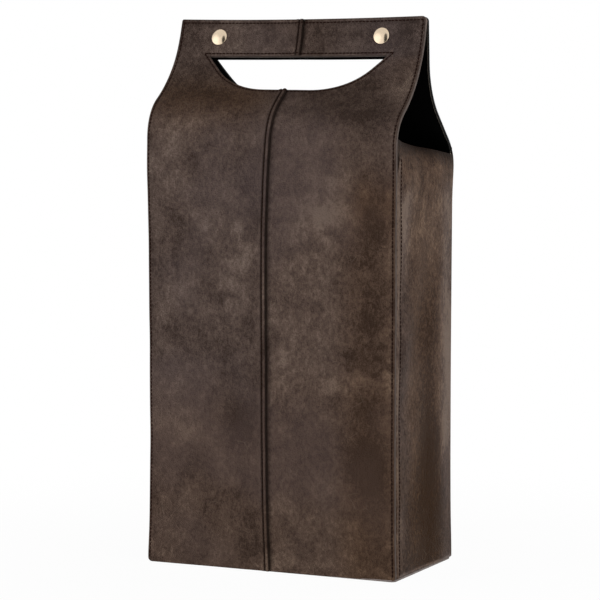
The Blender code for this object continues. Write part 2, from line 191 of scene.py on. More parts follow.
class Course:
    """Side view of one end of a wall: upright, shoulder bend, slope, hollow bend, band.

    It is read by the length of leather from the ground, and gives the distance from the middle of
    the bag, negative outwards to the front, and the height.
    """

    EVEN_TO = 280.0

    def __init__(self, length, top, wall, shoulder, bend, slope, run, hollow, lean):
        self.wall, self.shoulder = wall, shoulder
        self.bend, self.run, self.hollow = bend, run, hollow
        self.slope, self.lean = math.radians(slope), math.radians(lean)
        self.stretch = 1.0
        turns = bend * self.slope + run + hollow * (self.slope - self.lean)
        height = self.at(np.array([shoulder + turns]))[1][0]
        whole = shoulder + turns + (top - height) / math.cos(self.lean)
        self.stretch = (whole - self.EVEN_TO) / (length - self.EVEN_TO)

    def at(self, up):
        along = np.where(up > self.EVEN_TO, self.EVEN_TO + (up - self.EVEN_TO) * self.stretch, up)
        along = along - self.shoulder
        slope, lean = self.slope, self.lean
        turned = np.clip(along / self.bend, 0, slope)
        after = along - self.bend * slope
        straight = np.clip(after, 0, self.run)
        after = after - self.run
        back = slope - np.clip(after / self.hollow, 0, slope - lean)
        rest = np.maximum(after - self.hollow * (slope - lean), 0)
        inward = (self.bend * (1 - np.cos(turned)) + straight * math.sin(slope)
                  + self.hollow * (np.cos(back) - math.cos(slope)) + rest * math.sin(lean))
        height = (np.minimum(along, 0) + self.shoulder + self.bend * np.sin(turned)
                  + straight * math.cos(slope) + self.hollow * (math.sin(slope) - np.sin(back))
                  + rest * math.cos(lean))
        return self.wall + inward, height


FRONT_LENGTH = 403.5
BACK_LENGTH = 400.5
BACK_SHOULDER = 289.6
FRONT_LEFT = Course(FRONT_LENGTH, 385.75, -52.64, 300.98, 34.2, 56.6, 0, 88.6, 17.3)
FRONT_RIGHT = Course(FRONT_LENGTH, 386.25, -51.13, 295.69, 31.7, 53.7, 3.1, 87.1, 13.4)
BACK = Course(BACK_LENGTH, 385.5, -52.6, 279.3, 30.1, 47.05, 25.1, 52.4, 2.8)


def sag(across, up, length):
    """How far the top of a handle hangs down between its ends."""
    return TOP_SAG * (1 - (across / HALF_WIDTH) ** 2) * smooth((up - length + 45) / 40)


def front_surface(across, up):
    """Outer face of the front, from the ground to the top of the handle."""
    share = (across + HALF_WIDTH) / (2 * HALF_WIDTH)
    left, right = FRONT_LEFT.at(up), FRONT_RIGHT.at(up)
    y = left[0] + (right[0] - left[0]) * share
    z = left[1] + (right[1] - left[1]) * share
    waist = curve_through(WAIST, z)
    y = y + (1.4 - 1.1 * share) * waist + UNEVEN * ripples(across, up, 4, UNEVEN_REACH)
    return np.stack((across * (1 - WAIST_ACROSS * waist), y, z - sag(across, up, FRONT_LENGTH)), 1)


def wall_course(run, height):
    """Level course of half the back and a side: x and y for a length from the back's middle."""
    tight = smooth((height - 255) / (BACK_SHOULDER - 255))
    wide, deep = 2.4 - 1.6 * tight, 6.5 - 5 * tight
    back_y = -BACK.at(height)[0]
    front_y = front_surface(np.full_like(run, HALF_WIDTH), height)[:, 1] + LINING_TO + 0.15
    turn = np.clip((run - CORNER_FROM) / (CORNER_TO - CORNER_FROM), 0, 1) * math.pi / 2
    face = (SIDE_FACE + 1.05 * smooth((150 - run) / 30)
            + 1.3 * np.sin(math.pi * np.clip((run - CORNER_TO) / 36, 0, 1)))
    x = np.minimum(run / CORNER_FROM, 1) * (face - wide) + wide * np.sin(turn) ** 0.72
    y = back_y - deep + deep * np.cos(turn) ** 0.72
    down = np.maximum(run - CORNER_TO, 0) / (SIDE_END - CORNER_TO)
    return x, y - down * (back_y - deep - front_y)


def side_top(y):
    """Height of a side's top edge, which sinks a little where it rolls in."""
    roll = SIDE_ROLL * side_belly(y)
    return curve_through(SIDE_TOP, y - 1.6 * roll) - 0.195 * roll


def side_belly(y):
    """Share of the roll for each distance back: none at the ends of a side."""
    return np.sin(math.pi * np.clip((y + 48) / 96, 0, 1)) ** 1.5


def wrap_surface(across, up):
    """Outer face of the leather that makes both sides, the back and the back flap."""
    run, side = np.abs(across), np.where(across > 0, -1.0, 1.0)
    on_flap = (up > BACK_SHOULDER) & (run < CUT + 0.45)
    height = np.where(on_flap, BACK_SHOULDER, up)
    x, y = wall_course(run, height)
    waist = curve_through(WAIST, height)
    rise = np.clip(1 - (side_top(y) - height) / SIDE_ROLL_HEIGHT, 0, 1.2)
    on_side = smooth((run - CUT) / 14)
    x = x - SIDE_ROLL * side_belly(y) * rise ** 3.0 * on_side
    free = smooth((run - 98) / 32) * smooth((SIDE_END - run) / 12)
    x = x + 0.75 * ripples(y + 300 * side, height, 9, 48) * free
    y = y - 0.3 * waist * smooth((110 - run) / 20)
    in_back, flap_z = BACK.at(up)
    ease = smooth((up - BACK_SHOULDER) / 22)
    x = np.where(on_flap, x + (run - x) * ease, x)
    y = np.where(on_flap, (y + BACK.at(height)[0]) * (1 - ease) - in_back, y)
    z = up + (flap_z - sag(across, up, BACK_LENGTH) - up) * smooth((CORNER_TO + 5 - run) / 10)
    y = y + UNEVEN * ripples(across, up, 6, UNEVEN_REACH) * smooth((CORNER_FROM - run) / 20)
    return np.stack((side * x * (1 - WAIST_ACROSS * waist), y, z), 1)


def divider_surface(across, up):
    """Middle plane of the divider, with its slight wave."""
    return np.stack((0.5 * np.sin(across / 19 + up / 47), across, up), 1)


def lay(surface, across, up, depth):
    """Points below a surface's outer face, in metres, and the way out of it.

    A depth is one number, or one for each point.
    """
    step = 0.05
    here = surface(across, up)
    normal = np.cross(surface(across + step, up) - surface(across - step, up),
                      surface(across, up + step) - surface(across, up - step))
    normal /= np.linalg.norm(normal, axis=1)[:, None]
    return (here - np.broadcast_to(depth, len(up))[:, None] * normal) * MM, normal


# Flat patterns

def round_corner(centre, radius, start, steps=5):
    angles = [start + math.pi / 2 * step / steps for step in range(steps + 1)]
    return [(centre[0] + radius * math.cos(a), centre[1] + radius * math.sin(a)) for a in angles]


def both_sides(right):
    """An outline from its right half, mirrored."""
    return np.array([*right, *((-x, up) for x, up in reversed(right))])


def front_outline(low):
    edge, bend, tight = HALF_WIDTH, TOP_CORNER, TIGHT_CORNER
    return np.array(
        round_corner((-edge + bend, low + bend), bend, math.pi)
        + round_corner((edge - bend, low + bend), bend, math.pi * 1.5)
        + round_corner((edge - bend, FRONT_LENGTH - bend), bend, 0)
        + round_corner((-edge + tight, FRONT_LENGTH - tight), tight, math.pi / 2))


class Handhole:
    """Outline of a handhole: straight top, slanted sides and a round lower edge."""

    def __init__(self, top, half, depth, bend, side, shift):
        self.top, self.low = top, top - depth
        side, steps = math.radians(side), 18
        slant = (depth - bend * (1 - math.cos(side))) / math.tan(side)
        flat = half - slant - bend * math.sin(side)
        turns = [side * step / steps for step in range(steps + 1)]
        right = [(flat + bend * math.sin(a), self.low + bend * (1 - math.cos(a))) for a in turns]
        right.append((half, top))
        self.outline = np.array([(shift - x, up) for x, up in reversed(right)]
                                + [(shift + x, up) for x, up in right])


FRONT_HOLE = Handhole(FRONT_LENGTH - 27.6, 69.2, 30.0, 55.0, 48, 0.85)
BACK_HOLE = Handhole(BACK_LENGTH - 28.3, 69.8, 33.5, 47.0, 52, 0.0)


def wrap_outline(inset=0.0):
    """Both sides and the back, with the back flap standing up from it."""
    side = np.linspace(SIDE_END - inset, CUT + SLIT, 60)
    y = wall_course(side, np.full_like(side, SIDE_LEVEL))[1]
    tops = [(run, height - inset) for run, height in zip(side, side_top(y))]
    edge, bend, top = CUT - inset, TOP_CORNER, BACK_LENGTH - inset
    return both_sides([(SIDE_END - inset, FOOT), *tops, (edge, BACK_SHOULDER),
                       *round_corner((edge - bend, top - bend), bend, 0)])


def out_of(points, closed=True):
    """Direction to the right of a path at each point, longer at its corners."""
    ahead = np.roll(points, -1, 0) - points
    if not closed:
        ahead[-1] = ahead[-2]
    ahead = ahead / np.linalg.norm(ahead, axis=1)[:, None]
    right = np.stack((ahead[:, 1], -ahead[:, 0]), 1)
    before = np.roll(right, 1, 0)
    if not closed:
        before[0] = right[0]
    both = right + before
    return both / np.maximum((both * both).sum(1), 0.4)[:, None] * 2


def divided(points, step, closed=True):
    """A path with extra points, so that none of its steps is longer than step."""
    ends = np.roll(points, -1, 0) if closed else points[1:]
    starts = points if closed else points[:-1]
    made = []
    for start, end in zip(starts, ends):
        count = max(1, math.ceil(np.linalg.norm(end - start) / step))
        made += [start + (end - start) * k / count for k in range(count)]
    if not closed:
        made.append(points[-1])
    return np.array(made)


def distance_to(points, path, closed=True):
    """Distance of each point from a path."""
    ends = np.roll(path, -1, 0) if closed else path[1:]
    starts = path if closed else path[:-1]
    best = np.full(len(points), np.inf)
    for start, end in zip(starts, ends):
        way = end - start
        share = np.clip(((points - start) @ way) / max(way @ way, 1e-12), 0, 1)
        off = points - start - share[:, None] * way
        best = np.minimum(best, (off * off).sum(1))
    return np.sqrt(best)


def inside(points, path):
    """Which points a closed path encloses."""
    found = np.zeros(len(points), bool)
    for (ax, ay), (bx, by) in zip(path, np.roll(path, -1, 0)):
        if ay == by:
            continue
        crosses = (ay > points[:, 1]) != (by > points[:, 1])
        found ^= crosses & (points[:, 0] < ax + (bx - ax) * (points[:, 1] - ay) / (by - ay))
    return found


def off_rows(points, rows):
    """Distance of each point from the nearest of some rows of stitches."""
    return np.min([distance_to(points, row, False) for row in rows], axis=0)


# Rows of points in from an edge. Inside them lies a grid of levels and columns, with room to spare
EDGE_ROWS = (0.15, 0.45, 0.9, 1.45, 1.9, 2.35, 2.8)
LEVEL_STEP = 0.87
CLEARANCE = 0.6
MERGE_WITHIN = 1e-6


class Pattern:
    """A layer's flat pattern, triangulated with rows of points along its edges."""

    def __init__(self, outline, holes=(), lines=(), rows=EDGE_ROWS, spacing=3.2):
        self.edges = [np.asarray(outline), *holes]
        constraints = []
        for index, edge in enumerate(self.edges):
            inward = -out_of(edge) if index == 0 else out_of(edge)
            for row in (0.0, *rows):
                constraints.append((divided(edge + inward * row, spacing * 0.8), True))
        constraints += [(line, False) for line in lines]
        low, high = self.edges[0].min(0), self.edges[0].max(0)
        columns = np.arange(low[0] + spacing / 2, high[0], spacing)
        levels = np.arange(low[1] + spacing / 2, high[1], spacing * LEVEL_STEP)
        grid = np.array([(x + spacing / 2 * (k % 2), y)
                         for k, y in enumerate(levels) for x in columns])
        clear = max(rows, default=0) + spacing * CLEARANCE
        grid = grid[self.depth_in(grid) > clear]
        for line in lines:
            grid = grid[distance_to(grid, line, False) > spacing * CLEARANCE]
        points, links = [Vector(p) for p in grid], []
        for path, closed in constraints:
            first = len(points)
            points += [Vector(p) for p in path]
            links += [(first + k, first + k + 1) for k in range(len(path) - 1)]
            if closed:
                links.append((first + len(path) - 1, first))
        found = delaunay_2d_cdt(points, links, [], 0, MERGE_WITHIN)
        self.points = np.array([tuple(p) for p in found[0]])
        faces = np.array(found[2])
        self.faces = faces[self.within(self.points[faces].mean(1))]

    def within(self, points):
        kept = inside(points, self.edges[0])
        for hole in self.edges[1:]:
            kept &= ~inside(points, hole)
        return kept

    def depth_in(self, points):
        """Distance in from the nearest edge, negative where there is no leather."""
        nearest = np.min([distance_to(points, edge) for edge in self.edges], axis=0)
        return np.where(self.within(points), nearest, -nearest)

    def part(self, keep):
        """The triangles whose middles pass a test, with the points that they use."""
        middles = self.points[self.faces].mean(1)
        faces = self.faces[keep(middles[:, 0], middles[:, 1])]
        used, renumbered = np.unique(faces, return_inverse=True)
        return self.points[used], renumbered.reshape(-1, 3)


# Objects

def add_mesh(name, points, faces, material, sharp=42):
    mesh = bpy.data.meshes.new(name)
    corners = [tuple(int(i) for i in face) for face in faces]
    mesh.from_pydata([tuple(p) for p in points], [], corners)
    mesh.update()
    mesh.shade_smooth()
    mesh.set_sharp_from_angle(angle=math.radians(sharp))
    mesh.materials.append(material)
    piece = bpy.data.objects.new(name, mesh)
    bpy.context.scene.collection.objects.link(piece)
    return piece


def skinned(rings, closed=False):
    """Faces between neighbouring rings of points, and over both ends of an open row of rings."""
    faces = [] if closed else [rings[0][::-1], rings[-1]]
    for here, after in zip(rings, rings[1:] + rings[:1] if closed else rings[1:]):
        faces += zip(here, here[1:] + here[:1], after[1:] + after[:1], after)
    faces = [tuple(dict.fromkeys(face)) for face in faces]
    return [face for face in faces if len(face) > 2]


def rings_of(count, width, start=0):
    """Numbers of the points in a row of rings."""
    return [list(range(start + k * width, start + (k + 1) * width)) for k in range(count)]


def shell(name, surface, points, faces, outer, inner, material, **marks):
    """Closed layer between two depths below a surface, on a triangulated pattern.

    Marks are values for its outer face that the leather's colour reads by their names.
    """
    across, up = points.T
    count = len(points)
    places = np.concatenate([lay(surface, across, up, depth)[0] for depth in (outer, inner)])
    sides = np.concatenate([faces[:, [0, 1]], faces[:, [1, 2]], faces[:, [2, 0]]])
    codes = sides[:, 0] * count + sides[:, 1]
    twins = np.isin(sides[:, 1] * count + sides[:, 0], codes)
    rim = [(a + count, b + count, b, a) for a, b in sides[~twins]]
    piece = add_mesh(name, places, [*faces, *(faces[:, ::-1] + count), *rim], material)
    for mark, values in marks.items():
        layer = piece.data.attributes.new(mark, "FLOAT", "POINT")
        both = np.concatenate((np.broadcast_to(values, count), np.zeros(count)))
        layer.data.foreach_set("value", both.astype(np.float32))
    return piece


def sweep(name, surface, path, hole, section, material):
    """Strip along an open edge or all around a hole, from distances beyond it and depths."""
    ways = out_of(path, hole) * (-1 if hole else 1)
    rings = [lay(surface, *(path + ways * out).T, depth)[0] for out, depth in section]
    # A face's first corner decides how it is split where the strip twists into the slit
    faces = [face[1:] + face[:1] for face in skinned(rings_of(len(path), len(section)), hole)]
    if not hole:
        faces = [face[::-1] for face in faces]
    return add_mesh(name, np.stack(rings, 1).reshape(-1, 3), faces, material, sharp=60)


def moves(piece, with_what):
    """Ties a piece to a body by its name; across a fold between two bodies it only bakes the
    piece's place into its mesh.
    """
    if isinstance(with_what, str):
        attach(piece, with_what)
    else:
        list(with_what)
        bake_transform(piece)


def finished(piece, slot, replaced, with_what="bag"):
    """Hides the CAD nodes that a piece stands for, and ties it to what it moves with."""
    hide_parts(*replaced)
    moves(piece, with_what)


# The folds of both flaps: the two bodies, and the heights between which one body's motion would
# give way to the other's, which nothing reads
OVER_FRONT = ("bag", "front_flap", (0, -0.053, 0.2935), (0, -0.053, 0.3050))
OVER_BACK = ("bag", "back_flap", (0, 0.0515, 0.2890), (0, 0.0532, 0.2975))


# Shader maths

def times(colour, share):
    """A colour made lighter or darker."""
    return [part * share for part in colour]


class Signal:
    """An output of a node tree. Sums and products of signals add the Math nodes for them."""

    def __init__(self, tree, output):
        self.tree = tree
        self.output = output

    @classmethod
    def of(cls, tree, kind, settings, sockets, output=0):
        """Adds a node: its settings first, then a value or a signal for each socket."""
        node = tree.nodes.new("ShaderNode" + kind)
        for name, value in settings.items():
            setattr(node, name, value)
        for name, value in sockets.items():
            if isinstance(value, Signal):
                tree.links.new(value.output, node.inputs[name])
            else:
                node.inputs[name].default_value = value
        return cls(tree, node.outputs[output])

    def math(self, operation, first, second):
        return Signal.of(self.tree, "Math", {"operation": operation}, {0: first, 1: second})

    def vector(self, operation, *others, output=0):
        return Signal.of(self.tree, "VectorMath", {"operation": operation},
                         dict(enumerate((self, *others))), output)

    def __add__(self, other):
        return self.math("ADD", self, other)

    __radd__ = __add__

    def __sub__(self, other):
        return self.math("SUBTRACT", self, other)

    def __rsub__(self, other):
        return self.math("SUBTRACT", other, self)

    def __mul__(self, other):
        return self.math("MULTIPLY", self, other)

    def between(self, low, high):
        """0 below low, 1 above high, and a smooth step between them."""
        return Signal.of(self.tree, "MapRange", {"interpolation_type": "SMOOTHSTEP"},
                         {0: self, 1: low, 2: high})


# Sockets of a Mix node for colours: both colours, and the result
MIX_FIRST, MIX_SECOND, MIX_RESULT = 6, 7, 2
# Length of a Wave texture's bands at a scale of 1
WAVE_LENGTH = 0.31


class Finish:
    """A material being made: its nodes, its place on the object and its shader."""

    def __init__(self, name, **sockets):
        self.material = bpy.data.materials.new(name)
        self.material.use_nodes = True
        self.tree = self.material.node_tree
        self.shader = self.tree.nodes["Principled BSDF"]
        for socket, value in sockets.items():
            self.shader.inputs[socket.replace("_", " ")].default_value = value
        self.place = self.node("TexCoord", {}, {}, "Object")

    def node(self, kind, settings, sockets, output=0):
        return Signal.of(self.tree, kind, settings, sockets, output)

    def moved(self, shift, stretch=(1, 1, 1)):
        return self.place.vector("MULTIPLY", stretch).vector("ADD", shift)

    def noise(self, size, detail, roughness, shift=(0, 0, 0), stretch=(1, 1, 1), distortion=0):
        """Cloudy noise whose clouds are about size metres across."""
        return self.node("TexNoise", {}, {"Vector": self.moved(shift, stretch), "Scale": 1 / size,
                                          "Detail": detail, "Roughness": roughness,
                                          "Distortion": distortion})

    def mix(self, share, first, second, blend="MIX"):
        """Mixes two colours."""
        pair = [value if isinstance(value, Signal) else (*value, 1.0) for value in (first, second)]
        return self.node("Mix", {"data_type": "RGBA", "blend_type": blend},
                         {0: share, MIX_FIRST: pair[0], MIX_SECOND: pair[1]}, MIX_RESULT)

    def wave(self, way, scale, distortion):
        """Bands across a direction."""
        return self.node("TexWave", {"bands_direction": way},
                         {"Vector": self.place, "Scale": scale, "Distortion": distortion})

    def cells(self, size, shift):
        """Distance from the edges between cells about size metres across."""
        return self.node("TexVoronoi", {"feature": "DISTANCE_TO_EDGE"},
                         {"Vector": self.moved(shift), "Scale": 1 / size})

    def mark(self, name):
        """A value that the shells carry."""
        return self.node("Attribute", {"attribute_name": name}, {}, "Fac")

    def feed(self, colour, rough, height):
        """Gives the shader its colour, its roughness and its relief in metres."""
        bump = self.node("Bump", {}, {"Height": height, "Strength": 1.0, "Distance": 1.0})
        for socket, value in (("Base Color", colour), ("Roughness", rough), ("Normal", bump)):
            self.tree.links.new(value.output, self.shader.inputs[socket])
        return self.material


def leather_finish(name, settings, shift=(0, 0, 0), streak=1.0, cool=0.45, grit=0.30):
    """Distressed hide: cloudy dark and light patches, pebbled grain, creases and rubbed hairlines.

    Its shells carry marks: wear with painted light for how light or dark it is, painted shade for
    where it is darkened, cast for how warm.
    """
    finish = Finish(name, Specular_IOR_Level=0.03)
    stretch = (1, 1, streak)
    patches = finish.noise(0.050, 3, 0.55, shift, stretch, 0.3).between(0.34, 0.64)
    mottle = finish.noise(0.015, 4, 0.65, shift, stretch, 0.4).between(0.30, 0.72)
    clouds = finish.noise(0.085, 2, 0.5, (3.1, 1.7, 0.4), stretch).between(0.42, 0.66)
    fine = finish.noise(0.0026, 4, 0.75, shift, (1, 1, 0.8), 0.6).between(0.33, 0.67)
    wrinkles = finish.noise(0.0052, 3, 0.6, shift, (1, 1, 0.6), 1.4).between(0.30, 0.70)
    pebbles = finish.cells(settings.grain, shift).between(0.0, 0.30)
    wear, cast, crease = (finish.mark(name) for name in ("wear", "cast", "crease"))
    # The wear mark also carries painted highlights, a painted sheen and painted shade, besides
    # patches and rubbed wear.
    tone = (patches * 0.23 + mottle * 0.25 + fine * grit + wrinkles * 0.10 - pebbles * 0.11
            + wear * (0.23 + mottle * 0.27) + 0.075 - (grit - 0.27) * 0.5)
    colour = finish.mix(tone.between(0.12, 0.66), settings.dark, settings.middle)
    colour = finish.mix(tone.between(0.55, 1.05), colour, settings.light)
    colour = finish.mix(clouds * cool, colour, settings.tint)
    warmed = finish.node("CombineXYZ", {}, {0: 1.0, 1: 1 - cast * 0.11, 2: 1 - cast * 0.26})
    colour = finish.mix(1.0, colour, warmed, "MULTIPLY")
    rubbed = finish.noise(0.030, 2, 0.5, (0.7, 0.2, 0.9)).between(0.56, 0.70)
    hairline = (1 - finish.cells(0.011, shift).between(0.0, 0.035)) * rubbed
    colour = finish.mix(hairline * 0.30, colour, settings.light)
    # Painted shade: this darkens the leather in stitch grooves, beside the seam's fold, in the
    # slits beside the corner strips and towards the rolled-in tops of the sides.
    colour = finish.mix(crease * 0.92, colour, times(settings.dark, 0.36))
    height = (pebbles * 0.00030 + wrinkles * 0.00030 + fine * 0.00030
              + mottle * 0.00025 - hairline * 0.00004)
    rough = settings.roughness - 0.06 + mottle * 0.08 + fine * 0.08 - pebbles * 0.05
    return finish.feed(colour, rough, height)


def paint_finish(name, paint):
    """Edge paint: smooth, uneven from the brush, and lighter along the very top."""
    finish = Finish(name, Specular_IOR_Level=0.04)
    wave = finish.noise(0.006, 3, 0.6)
    grit = finish.noise(0.0007, 2, 0.5)
    height = finish.node("SeparateXYZ", {}, {0: finish.place}, 2)
    # Lighter along the very top of the edge, by height.
    brush_and_top = wave.between(0.35, 0.7) * 0.4 + height.between(0.372, 0.384) * 0.9
    colour = finish.mix(brush_and_top, times(paint, 0.76), times(paint, 1.35))
    return finish.feed(colour, 0.42 + grit * 0.16, wave * 0.00012 + grit * 0.00003)


def cloth_finish(name, settings):
    """Black plain-woven lining."""
    finish = Finish(name, Specular_IOR_Level=0.04)
    warp, weft = (finish.wave(way, WAVE_LENGTH / settings.spacing, 0.4) for way in "XZ")
    weave = warp * weft
    lint = finish.noise(0.0009, 3, 0.6)
    colour = finish.mix(weave * 0.5 + lint * 0.4, times(settings.colour, 0.5), settings.colour)
    return finish.feed(colour, 0.72 + lint * 0.2, weave * 0.00012 + lint * 0.00005)


def board_finish(name):
    """Grey board pressed from fibres."""
    finish = Finish(name)
    fibre = finish.noise(0.0015, 4, 0.7, (0, 0, 0), (1, 1, 0.3))
    cloud = finish.noise(0.02, 2, 0.5)
    colour = finish.mix(fibre * 0.6 + cloud * 0.4, (0.15, 0.125, 0.10), (0.27, 0.235, 0.19))
    return finish.feed(colour, 0.82 + fibre * 0.12, fibre * 0.00006)


def thread_finish(name, settings):
    """Dark waxed thread with its twist."""
    finish = Finish(name, Specular_IOR_Level=0.05)
    twist = finish.wave("DIAGONAL", 600.0, 0.8)
    fuzz = finish.noise(0.0006, 2, 0.6)
    colour = finish.mix(twist * 0.6 + fuzz * 0.3, times(settings.colour, 0.6),
                        times(settings.colour, 1.5))
    return finish.feed(colour, 0.5 + fuzz * 0.2, twist * 0.00004)


def metal_finish(name, colour, roughness):
    """Plated brass with fine polishing marks and a faint haze."""
    finish = Finish(name, Metallic=1.0)
    haze = finish.noise(0.0035, 3, 0.6)
    marks = finish.noise(0.00045, 2, 0.6, (0, 0, 0), (1, 1, 0.25))
    tone = finish.mix(haze.between(0.3, 0.8), times(colour, 0.93), colour)
    return finish.feed(tone, roughness - 0.05 + haze * 0.08 + marks * 0.05, marks * 0.000006)


def kept(name, make, *details):
    """A material that pieces share, made under its name the first time it is asked for."""
    return bpy.data.materials.get(name) or make(name, *details)


# Depths of the leather's face below its surface

def rounded_edge(margin):
    """How far a cut edge's corner is rounded off, for a distance in from the edge."""
    return 0.34 * (1 - np.clip(margin / 0.75, 0, 1)) ** 2.2


def groove(off, depth=0.34, width=0.55):
    """Dip that the pull of the thread leaves along a row of stitches."""
    return depth * hump(off, 0, width)


def lap_face(off_fold):
    """Depth of the left half's folded edge, for a distance across from the fold."""
    rise = LAP_RISE * smooth((off_fold + 7.2) / 3.6)
    inner = np.clip(-off_fold / LAP_STITCH, 0, 1)
    puff = 0.45 * np.sin(math.pi * inner)
    turn = np.clip((off_fold + 0.8) / 0.8, 0, 1)
    dip = groove(off_fold + LAP_STITCH, 0.75, 0.62)
    return -(rise + puff) + dip + 1.1 * (1 - np.sqrt(np.maximum(1 - turn ** 2, 0)))


def seam_off(across, up):
    """How far a place is to the right of the seam's fold."""
    return across - curve_through(SEAM, up)


def edge_rows(left, right, low, high, hole, margin, drift=0.0):
    """Rows of stitches up both edges, along the top and around a handhole.

    The left row may drift nearer to its edge below the shoulder.
    """
    around = hole + out_of(hole) * margin
    return [np.array(row) for row in (
        [(left - drift, low), (left - drift, 305), (left, 350), (left, high + 0.5)],
        [(left - 0.5, high), (right + 0.5, high)],
        [(right, high + 0.5), (right, low)], [*around, around[0]])]


def front_rows(margin):
    edge = HALF_WIDTH - margin
    return edge_rows(0.4 - edge, edge, FIRST_STITCH, FRONT_LENGTH - margin - 0.8,
                     FRONT_HOLE.outline, margin, 0.8)


def back_rows(margin):
    edge = CUT - margin
    return edge_rows(-edge, edge, BACK_SHOULDER + 4, BACK_LENGTH - margin, BACK_HOLE.outline,
                     margin)


def groove_shade(off):
    """Share of painted shade along a row of stitches, where the thread pulls the leather into a
    groove, and none elsewhere.
    """
    return 0.42 * hump(off, 0, 0.60)


def front_crease(rows):
    """Gives the painted shade of the front leather along its stitch rows and beside the seam's
    fold.
    """
    def crease(across, up, left):
        less_shade = smooth((5 - HALF_WIDTH - across) / 1.5) * smooth((330 - up) / 20)
        shade_share = groove_shade(off_rows(np.stack((across, up), 1), rows)) * (1 - 0.8 * less_shade)
        off = seam_off(across, up)
        # Left half: painted shade in the groove of the lapped seam's stitches and over its rounded
        # fold; right half: a painted shadow of the fold.
        if left:
            shade_share = np.maximum(shade_share, hump(off, -LAP_STITCH, 0.85))
            return np.maximum(shade_share, smooth((off + 0.75) / 0.6))
        return np.maximum(shade_share, hump(off, 0.2, 0.9))
    return crease


# Cloudy patches of the hide that show most: middle across and up, reach across and up, how light
FRONT_PATCHES = [(44, 250, 17, 22, 1.1), (-29, 215, 17, 28, 0.65), (27, 212, 14, 26, 0.5),
                 (70, 135, 26, 9, 0.85), (10, 140, 9, 20, 0.75), (-68, 99, 19, 17, 0.8),
                 (-23, 103, 14, 18, -1.5), (80, 76, 17, 24, -0.95), (-78, 12, 18, 11, 0.7),
                 (80, 345, 12, 10, 0.6), (68, 318, 22, 12, -0.7), (80, 250, 12, 24, -0.5),
                 (62, 198, 12, 14, 0.6), (-44, 32, 14, 14, -0.5), (-50, 240, 20, 12, 0.35),
                 (46, 68, 14, 12, 0.5), (28, 300, 34, 9, 0.4), (-20, 300, 14, 24, -0.35),
                 (-54, 160, 24, 22, -0.35), (14, 92, 10, 14, 0.45), (90, 130, 8, 30, 0.35),
                 (-20, 235, 14, 14, 0.4)]
SIDE_PATCHES = [(160, 136, 16, 10, 0.45), (140, 97, 14, 12, -0.4), (122, 30, 22, 22, -0.6),
                (175, 34, 9, 20, 0.8)]


def patched(patches, across, up):
    """Sum of soft-edged patches."""
    return sum(amount * hump(across, x, wide) * hump(up, y, tall)
               for x, y, wide, tall, amount in patches)


def front_wear(across, up):
    """Where the front is lighter, above 0, or darker, below 0: patches of the hide, painted shade
    on the shoulder's slope and a painted highlight beside the right row of stitches.
    """
    right = hump(across, 80, 15) * (0.35 + 0.65 * smooth((330 - up) / 260))
    # Painted highlight on the puffed leather beside the right row of stitches.
    puffed_highlight = hump(across, HALF_WIDTH - 4.4, 1.7)
    # Painted shade on the shoulder's slope, which faces up, away from the light.
    slope = hump(up, 341, 15) * (0.35 + 0.65 * smooth((across + 10) / -30))
    bend = hump(up, 312, 12) * smooth((60 - across) / 30)
    return (0.12 - 0.5 * right + 0.9 * puffed_highlight - 0.6 * slope + 0.3 * bend
            - 0.25 * smooth((-HALF_WIDTH + 5 - across) / 5) + 0.25 * smooth((18 - up) / 12)
            + patched(FRONT_PATCHES, across, up))


def front_cast(across, up):
    """How warm the front's brown is, negative where it is cooler."""
    low = smooth((160 - up) / 70)
    edge = (smooth((across - 42) / 30) * smooth((290 - up) / 40)
            + 0.8 * smooth((across - 58) / 15) * hump(up, 262, 20))
    slope = hump(up, 336, 22) * smooth((10 - across) / 40)
    return (0.3 * low + 0.7 * edge + slope - 0.05 * (1 - low) * smooth(across / 20)
            - 0.35 * (1 - low) * (1 - slope) * smooth((30 - across) / 60)
            - 0.45 * smooth((up - 370) / 8) * smooth(across / 40))


def side_wear(run, up):
    """The same for a side: lighter along its back corner, a painted sheen with some wear, painted
    light high up, painted shade low down and with the mottling in its hollow, a lighter foot and
    patches of the hide.
    """
    # Painted sheen with some wear: the back corner is lighter where the leather turns towards the
    # light from behind.
    corner = smooth((128 - run) / 22) * smooth((run - 84) / 8) * smooth((up - 30) / 70)
    # Painted shade, with mottling, in the side's hollow.
    hollow = hump(run, 138, 12) * (0.25 + 0.75 * smooth((230 - up) / 160))
    # Painted light: a lighter band high on the side.
    rubbed = smooth((run - 112) / 16) * (0.05 + 0.95 * hump(up, 250, 28))
    foot = smooth((FOOT + 3.2 - up) / 2.6) * smooth((run - 96) / 4)
    # Painted shade: darker towards the ground, where the light falls off.
    low = smooth((105 - up) / 50) * smooth((run - 104) / 20)
    return ((1.5 - 0.6 * smooth((up - 130) / 90)) * corner * smooth((310 - up) / 60)
            - 0.65 * hollow + rubbed + 2.0 * foot - 0.55 * low
            - 0.25 * hump(up, 178, 24) * smooth((run - 112) / 16)
            + patched(SIDE_PATCHES, run, up))


def side_cast(run, up):
    """How warm a side's brown is."""
    middle = smooth((run - 110) / 14) * smooth((174 - run) / 18)
    low = smooth((120 - up) / 60) * smooth((run - 110) / 14)
    wear = side_wear(run, up)
    return (np.maximum(0.8 * middle, 0.75 * smooth((up - 258) / 22)) + 0.3 * low
            + 0.5 * np.maximum(-wear, 0) - 0.12 * np.maximum(wear, 0)
            - 0.9 * smooth((FOOT + 4 - up) / 3))


def slit_shade(run, up):
    """Share of painted shade, black, in the slit between a side's strip and the front's edge."""
    return smooth((run - 182.1) / 0.5) * smooth((up - SLIT_FROM) / 3) * smooth((294.5 - up) / 2)


